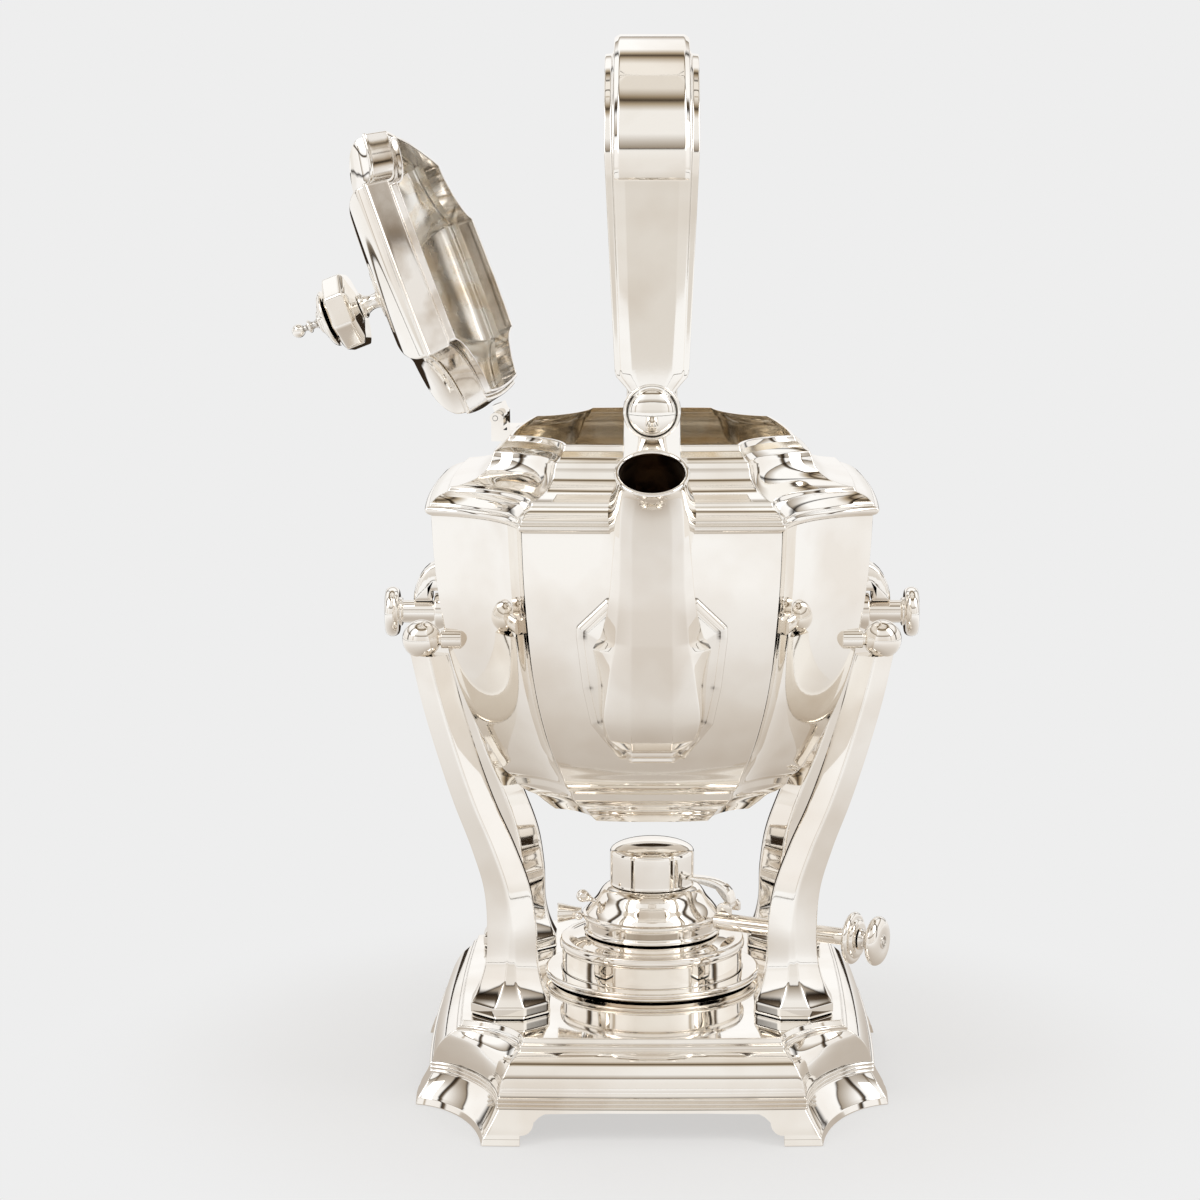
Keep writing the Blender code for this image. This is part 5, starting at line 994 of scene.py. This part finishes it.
def makeRegulator():
    f, gap = fittings, lamp["gap"]

    def turned(name, body, rows, along, *nodes, radius=0.25):
        grid = lathe(np.array(rows, float) * (mm, mm, 1), (ahead * along + (0, 0, tubeZ)) * mm, ahead, 72, radius * mm)
        makePiece(name, body, grid, *nodes)

    start = lamp["collar"] + gap
    long = f["reach"] - start
    turned("regulatorTube", "stand", [(0, 0, 1), (f["tube"], 0, 1), (f["tube"], long, 1), (0, long, 1)], start,
           "regulator_tube")
    r, t = f["disc"], f["discThick"]
    turned("regulatorDisc", "stand", [
        (0, t, 1), (r * 0.60, t, 1), (r * 0.72, t * 0.86, 0), (r * 0.76, t * 0.62, 1), (r * 0.92, t * 0.60, 0),
        (r, t * 0.36, 0), (r * 0.95, t * 0.12, 0), (r * 0.78, 0, 1), (0, 0, 1)], f["reach"] + gap, "regulator_disc")
    r, t, n = f["knob"], f["knobThick"], f["neckLong"]
    turned("regulatorKnob", "wick_knob", [
        (0, n + t * 0.97, 1), (r * 0.10, n + t * 0.97, 1), (r * 0.12, n + t * 0.90, 1), (r * 0.20, n + t * 0.90, 1),
        (r * 0.22, n + t, 1), (r * 0.26, n + t, 1), (r * 0.28, n + t * 0.92, 1), (r * 0.80, n + t * 0.88, 0),
        (r * 0.94, n + t * 0.68, 0), (r, n + t * 0.42, 0), (r * 0.94, n + t * 0.14, 0), (r * 0.78, n, 1),
        (f["neck"] * 1.15, n * 0.9, 0), (f["neck"] * 0.8, n * 0.45, 0), (f["neck"], 0, 1), (0, 0, 1)],
        f["reach"] + f["discThick"] + gap * 2, "regulator_knob", radius=0.2)


def makeLever():
    # a strap along a quadratic curve from the cap's side down to its barrel
    f, gap = fittings, lamp["gap"]
    pivot = np.array(joints["snuffer_lift"]["pos_m"]) - standCentre
    pivotZ = pivot[2] / mm
    first = np.array([lamp["cap"] + gap, capLow + lamp["capHeight"] * 0.30])
    last = np.array([f["leverReach"] + f["barrel"] * 0.6, pivotZ])
    mid = np.array([last[0] + f["barrel"] * 0.5, first[1] + f["leverThick"]])
    share = np.linspace(0, 1, 14)[:, None]
    line = first * (1 - share) ** 2 + mid * 2 * share * (1 - share) + last * share ** 2
    run = (mid - first) * (1 - share) + (last - mid) * share
    run /= np.linalg.norm(run, axis=1, keepdims=True)
    normal = np.stack([-run[:, 1], run[:, 0]], 1) * f["leverThick"] / 2
    outline = np.vstack([line + normal, (line - normal)[::-1]]) * mm
    makePiece("snufferLever", "snuffer", slab(outline, f["leverWide"] * mm, 0.2 * mm, (0, 0, 0), ahead, (0, 0, 1),
                                              0.1 * mm, 1), "snuffer_lever")
    wide = f["leverWide"] * mm
    rows = [(f["pin"] * mm + 0.15 * mm, 0, 1), (f["barrel"] * mm, 0, 1), (f["barrel"] * mm, wide, 1),
            (f["pin"] * mm + 0.15 * mm, wide, 1)]
    makePiece("snufferBarrel", "snuffer", lathe(rows, pivot - aside * wide / 2, aside, 40, 0.2 * mm), closed=True)
    for sign in (-1, 1):
        half, low, high = f["block"] / 2, -f["barrel"] * 1.1 - gap, f["barrel"] * 0.8
        outline = np.array([(half, low), (half, high * 0.2), (half * 0.6, high), (-half * 0.6, high),
                            (-half, high * 0.2), (-half, low)]) * mm
        offset = (f["leverWide"] / 2 + 0.3 + f["ear"] / 2) * mm
        grid = slab(outline, f["ear"] * mm, 0.25 * mm, pivot + aside * sign * offset, ahead, (0, 0, 1), 0.3 * mm, 2)
        name, nodes = ("Left", ["lever_bracket"]) if sign > 0 else ("Right", [])
        makePiece(f"leverEar{name}", "stand", grid, *nodes)
    long = (f["leverWide"] / 2 + 0.3 + f["ear"]) * mm
    rows = [(0, -0.2 * mm, 0), (f["pin"] * 1.4 * mm, 0, 1), (f["pin"] * mm, 0.1 * mm, 1), (f["pin"] * mm, long * 2, 1),
            (0, long * 2, 1)]
    makePiece("snufferPin", "stand", lathe(rows, pivot - aside * long, aside, 32, 0.15 * mm), "snuffer_pin")


def makeFiller():
    f, start = fittings, lamp["collar"] + lamp["gap"]
    r, m, long = f["filler"], f["mouth"], f["fillerLong"]
    rows = [(r * 0.55, 0, 1), (r, 0, 1), (r * 0.95, long * 0.1, 0), (r * 1.15, long * 0.4, 0),
            (m * 0.97, long * 0.88, 0), (m, long * 0.96, 0),
            (m * 0.93, long, 1), (m * 0.80, long * 0.97, 1), (r * 0.55, long * 0.45, 0)]
    makePiece("fillerTube", "stand", lathe(np.array(rows) * (mm, mm, 1), (-start * mm, 0, tubeZ * mm), (-1, 0, 0), 60,
                                           0.2 * mm), "filler_tube", closed=True)
    turns = np.linspace(0.05, np.pi - 0.05, 15)
    ball = [(f["plug"] * mm * math.sin(turn), f["plug"] * mm * math.cos(turn), 0) for turn in turns]
    foot = np.array([-start - r * 0.4, -r - f["plug"] - lamp["gap"] * 2, tubeZ]) * mm
    makePiece("fillerPlug", "stand", lathe(ball, foot, perSpan=1, steps=40), "filler_plug")
    angle = math.radians(f["studAngle"])
    level = np.array([math.cos(angle), math.sin(angle), 0])
    out = level + (0, 0, 0.5)
    out /= np.linalg.norm(out)
    slope = lamp["collarTop"] + (lamp["collar"] - lamp["collarTop"]) * 0.43
    foot = level * slope * mm + np.array([0, 0, collarLow + lamp["collarHeight"] * 0.70]) * mm
    stem, r, long = f["stem"], f["stud"], f["stemLong"]
    rows = [(0, 0, 1), (stem, 0, 1), (stem, long * 0.7, 0), (r * 0.6, long * 0.95, 1), (r * 0.62, long * 1.1, 1),
            (r * 0.8, long + r * 0.4, 0), (r, long + r, 0), (r * 0.8, long + r * 1.6, 0), (r * 0.1, long + r * 2, 0)]
    makePiece("collarStud", "stand", lathe(np.array(rows) * (mm, mm, 1), foot + out * 0.3 * mm, out, 40, 0.15 * mm),
              "collar_stud")


makeRegulator()
makeLever()
makeFiller()
print("lamp")

# studio: a white room with warm darker gaps that the silver mirrors, and two soft lamps
studio = {"background": "#eeeeee", "floorRadius": 2.4, "glow": 1.07,
          "sky": [(0.0, "#c9bdae"), (0.49, "#ece9e5"), (0.52, "#f6f4f2"), (0.60, "#f8f6f4"), (0.675, "#ffffff"),
                  (0.683, "#4a3f34"), (0.690, "#a3988a"), (0.73, "#cfc9c2"), (0.78, "#ffffff"), (0.905, "#ffffff"),
                  (0.935, "#b5a68f"), (0.950, "#3f342a"), (0.962, "#a3937c"), (0.985, "#efeae3")],
          "strips": [(0.0, "#efedea"), (0.06, "#efedea"), (0.10, "#ffffff"), (0.130, "#ffffff"), (0.138, "#b0a18c"),
                     (0.150, "#ffffff"), (0.228, "#ffffff"), (0.236, "#2a221b"), (0.250, "#6e6254"),
                     (0.262, "#ffffff"), (0.392, "#ffffff"), (0.402, "#2a221b"), (0.418, "#ffffff"),
                     (0.582, "#ffffff"), (0.598, "#2a221b"), (0.608, "#ffffff"), (0.738, "#ffffff"),
                     (0.750, "#6e6254"), (0.764, "#2a221b"), (0.772, "#ffffff"), (0.850, "#ffffff"),
                     (0.862, "#b0a18c"), (0.870, "#ffffff"), (0.94, "#efedea")],
          # the floor's glow in reflections: a painted shadow darker near the stand, and a dark ring further out
          "floor": [(0.0, "#a5988a"), (0.035, "#c0b6ab"), (0.08, "#dbd5ce"), (0.15, "#eeebe8"), (0.25, "#fdfcfb"),
                    (0.50, "#ffffff"), (0.515, "#3a3026"), (0.55, "#8d8273"), (0.57, "#ffffff")],
          "shadow": 0.62, "card": "#33291f", "cardSlope": 0.7, "cardStart": 0.10,
          "cardBlur": 0.06}


def makeWorld():
    # height in the room picks the tone, multiplied by upright strips: the narrow dark ones draw lines in the silver
    world = bpy.data.worlds.new("studio")
    bpy.context.scene.world = world
    world.use_nodes = True
    tree = world.node_tree
    tree.nodes.clear()
    place = addNode(tree, "ShaderNodeTexCoord")
    split = addNode(tree, "ShaderNodeSeparateXYZ", None, {"Vector": place.outputs["Generated"]})
    height = addNode(tree, "ShaderNodeMapRange", {"From Min": -1.0, "From Max": 1.0}, {"Value": split.outputs["Z"]})
    sky = addNode(tree, "ShaderNodeValToRGB", None, {"Fac": height.outputs["Result"]})
    setRamp(sky, [(position, linear(colour)) for position, colour in studio["sky"]])
    around = addNode(tree, "ShaderNodeMath", {"operation": "ARCTAN2"}, None)
    tree.links.new(split.outputs["X"], around.inputs[0])
    tree.links.new(split.outputs["Y"], around.inputs[1])
    turn = addNode(tree, "ShaderNodeMapRange", {"From Min": -math.pi, "From Max": math.pi},
                   {"Value": around.outputs["Value"]})
    strips = addNode(tree, "ShaderNodeValToRGB", None, {"Fac": turn.outputs["Result"]})
    setRamp(strips, [(position, linear(colour)) for position, colour in studio["strips"]])
    mix = mixColours(tree, "MULTIPLY", sky.outputs["Color"])
    tree.links.new(strips.outputs["Color"], mix.inputs[7])
    mirrored = addNode(tree, "ShaderNodeBackground", {"Strength": studio["glow"]}, {"Color": mix.outputs[2]})
    seen = addNode(tree, "ShaderNodeBackground", {"Color": linear(studio["background"]), "Strength": 1.0})
    path = addNode(tree, "ShaderNodeLightPath")
    both = addNode(tree, "ShaderNodeMixShader", None, {"Fac": path.outputs["Is Camera Ray"]})
    tree.links.new(mirrored.outputs["Background"], both.inputs[1])
    tree.links.new(seen.outputs["Background"], both.inputs[2])
    addNode(tree, "ShaderNodeOutputWorld", None, {"Surface": both.outputs["Shader"]})


# the photograph's view: level with the handle's foot, looking a little down; metres and degrees
view = {"lens": 97.5, "sensor": 36, "shift": -52 / 1200, "distance": 0.98044, "height": 0.30953, "tilt": 9.434}


def makeCamera():
    data = bpy.data.cameras.new("camera")
    data.lens = view["lens"]
    data.sensor_width = view["sensor"]
    data.shift_x = view["shift"]
    camera = bpy.data.objects.new("camera", data)
    bpy.context.scene.collection.objects.link(camera)
    camera.location = Vector(standCentre) + Vector((0, -view["distance"], view["height"]))
    camera.rotation_euler = (math.radians(90 - view["tilt"]), 0, 0)
    bpy.context.scene.camera = camera


def makeFloor():
    # paper that fades into the plain background away from the stand, so only the shadow near it stays
    mesh = bpy.data.meshes.new("floor")
    r = studio["floorRadius"]
    mesh.from_pydata([(-r, -r, 0), (r, -r, 0), (r, r, 0), (-r, r, 0)], [], [(0, 1, 2, 3)])
    floor = bpy.data.objects.new("floor", mesh)
    bpy.context.scene.collection.objects.link(floor)
    floor.location = (*standCentre[:2], -0.0002)
    material, tree, shader = newMaterial("paper")
    shader.inputs["Base Color"].default_value = linear("#ededed")
    shader.inputs["Roughness"].default_value = 0.9
    shader.inputs["Specular IOR Level"].default_value = 0
    plain = addNode(tree, "ShaderNodeEmission", {"Color": linear(studio["background"]), "Strength": 1.0})
    place = addNode(tree, "ShaderNodeTexCoord")
    away = addNode(tree, "ShaderNodeVectorMath", {"operation": "LENGTH"})
    tree.links.new(place.outputs["Object"], away.inputs[0])
    fade = addNode(tree, "ShaderNodeMapRange", {"From Min": 0.09, "From Max": 0.19, "To Min": studio["shadow"],
                                                "interpolation_type": "SMOOTHSTEP"},
                   {"Value": away.outputs["Value"]})
    path = addNode(tree, "ShaderNodeLightPath")
    camera = addNode(tree, "ShaderNodeMath", {"operation": "MULTIPLY"})
    tree.links.new(fade.outputs["Result"], camera.inputs[0])
    tree.links.new(path.outputs["Is Camera Ray"], camera.inputs[1])
    both = addNode(tree, "ShaderNodeMixShader", None, {"Fac": camera.outputs["Value"]})
    tree.links.new(shader.outputs["BSDF"], both.inputs[1])
    tree.links.new(plain.outputs["Emission"], both.inputs[2])
    # seen only in reflections, the floor glows with a painted tone: a painted shadow darker near the stand and a dark
    # ring further out
    span = addNode(tree, "ShaderNodeMapRange", {"From Max": 2.0}, {"Value": away.outputs["Value"]})
    tone = addNode(tree, "ShaderNodeValToRGB", None, {"Fac": span.outputs["Result"]})
    setRamp(tone, [(position, linear(colour)) for position, colour in studio["floor"]])
    # a painted dark card in the floor's glow behind the stand, seen only in reflections: every outline mirrors it as a
    # thin dark line
    split = addNode(tree, "ShaderNodeSeparateXYZ", None, {"Vector": place.outputs["Object"]})
    side = addNode(tree, "ShaderNodeMath", {"operation": "ABSOLUTE"}, {"Value": split.outputs["X"]})
    slant = addNode(tree, "ShaderNodeMath", {"operation": "MULTIPLY"}, {"Value": split.outputs["Y"]})
    slant.inputs[1].default_value = studio["cardSlope"]
    inside = addNode(tree, "ShaderNodeMath", {"operation": "SUBTRACT"}, {"Value": slant.outputs["Value"]})
    tree.links.new(side.outputs["Value"], inside.inputs[1])
    start = studio["cardStart"]
    card = addNode(tree, "ShaderNodeMapRange", {"From Min": start, "From Max": start + studio["cardBlur"]},
                   {"Value": inside.outputs["Value"]})
    carded = mixColours(tree, "MIX", tone.outputs["Color"], card.outputs["Result"])
    carded.inputs[7].default_value = linear(studio["card"])
    mirrored = addNode(tree, "ShaderNodeEmission", {"Strength": 1.0}, {"Color": carded.outputs[2]})
    last = addNode(tree, "ShaderNodeMixShader", None, {"Fac": path.outputs["Is Glossy Ray"]})
    tree.links.new(both.outputs["Shader"], last.inputs[1])
    tree.links.new(mirrored.outputs["Emission"], last.inputs[2])
    tree.links.new(last.outputs["Shader"], tree.nodes["Material Output"].inputs["Surface"])
    mesh.materials.append(material)


def addLamp(name, place, size, power, colour="#ffffff"):
    data = bpy.data.lights.new(name, "AREA")
    data.shape = "RECTANGLE"
    data.size, data.size_y = size
    data.energy = power
    data.color = linear(colour)[:3]
    item = bpy.data.objects.new(name, data)
    bpy.context.scene.collection.objects.link(item)
    item.location = place
    aim = Vector((*standCentre[:2], 0.14)) - Vector(place)
    item.rotation_euler = aim.to_track_quat("-Z", "Y").to_euler()


bpy.context.scene.view_settings.view_transform = "Standard"
makeWorld()
makeCamera()
makeFloor()
addLamp("leftBox", (-0.8, -0.5, 0.9), (0.45, 0.8), 2.2)
addLamp("rightBox", (0.8, -0.4, 0.9), (0.45, 0.8), 2.2)
print("studio")
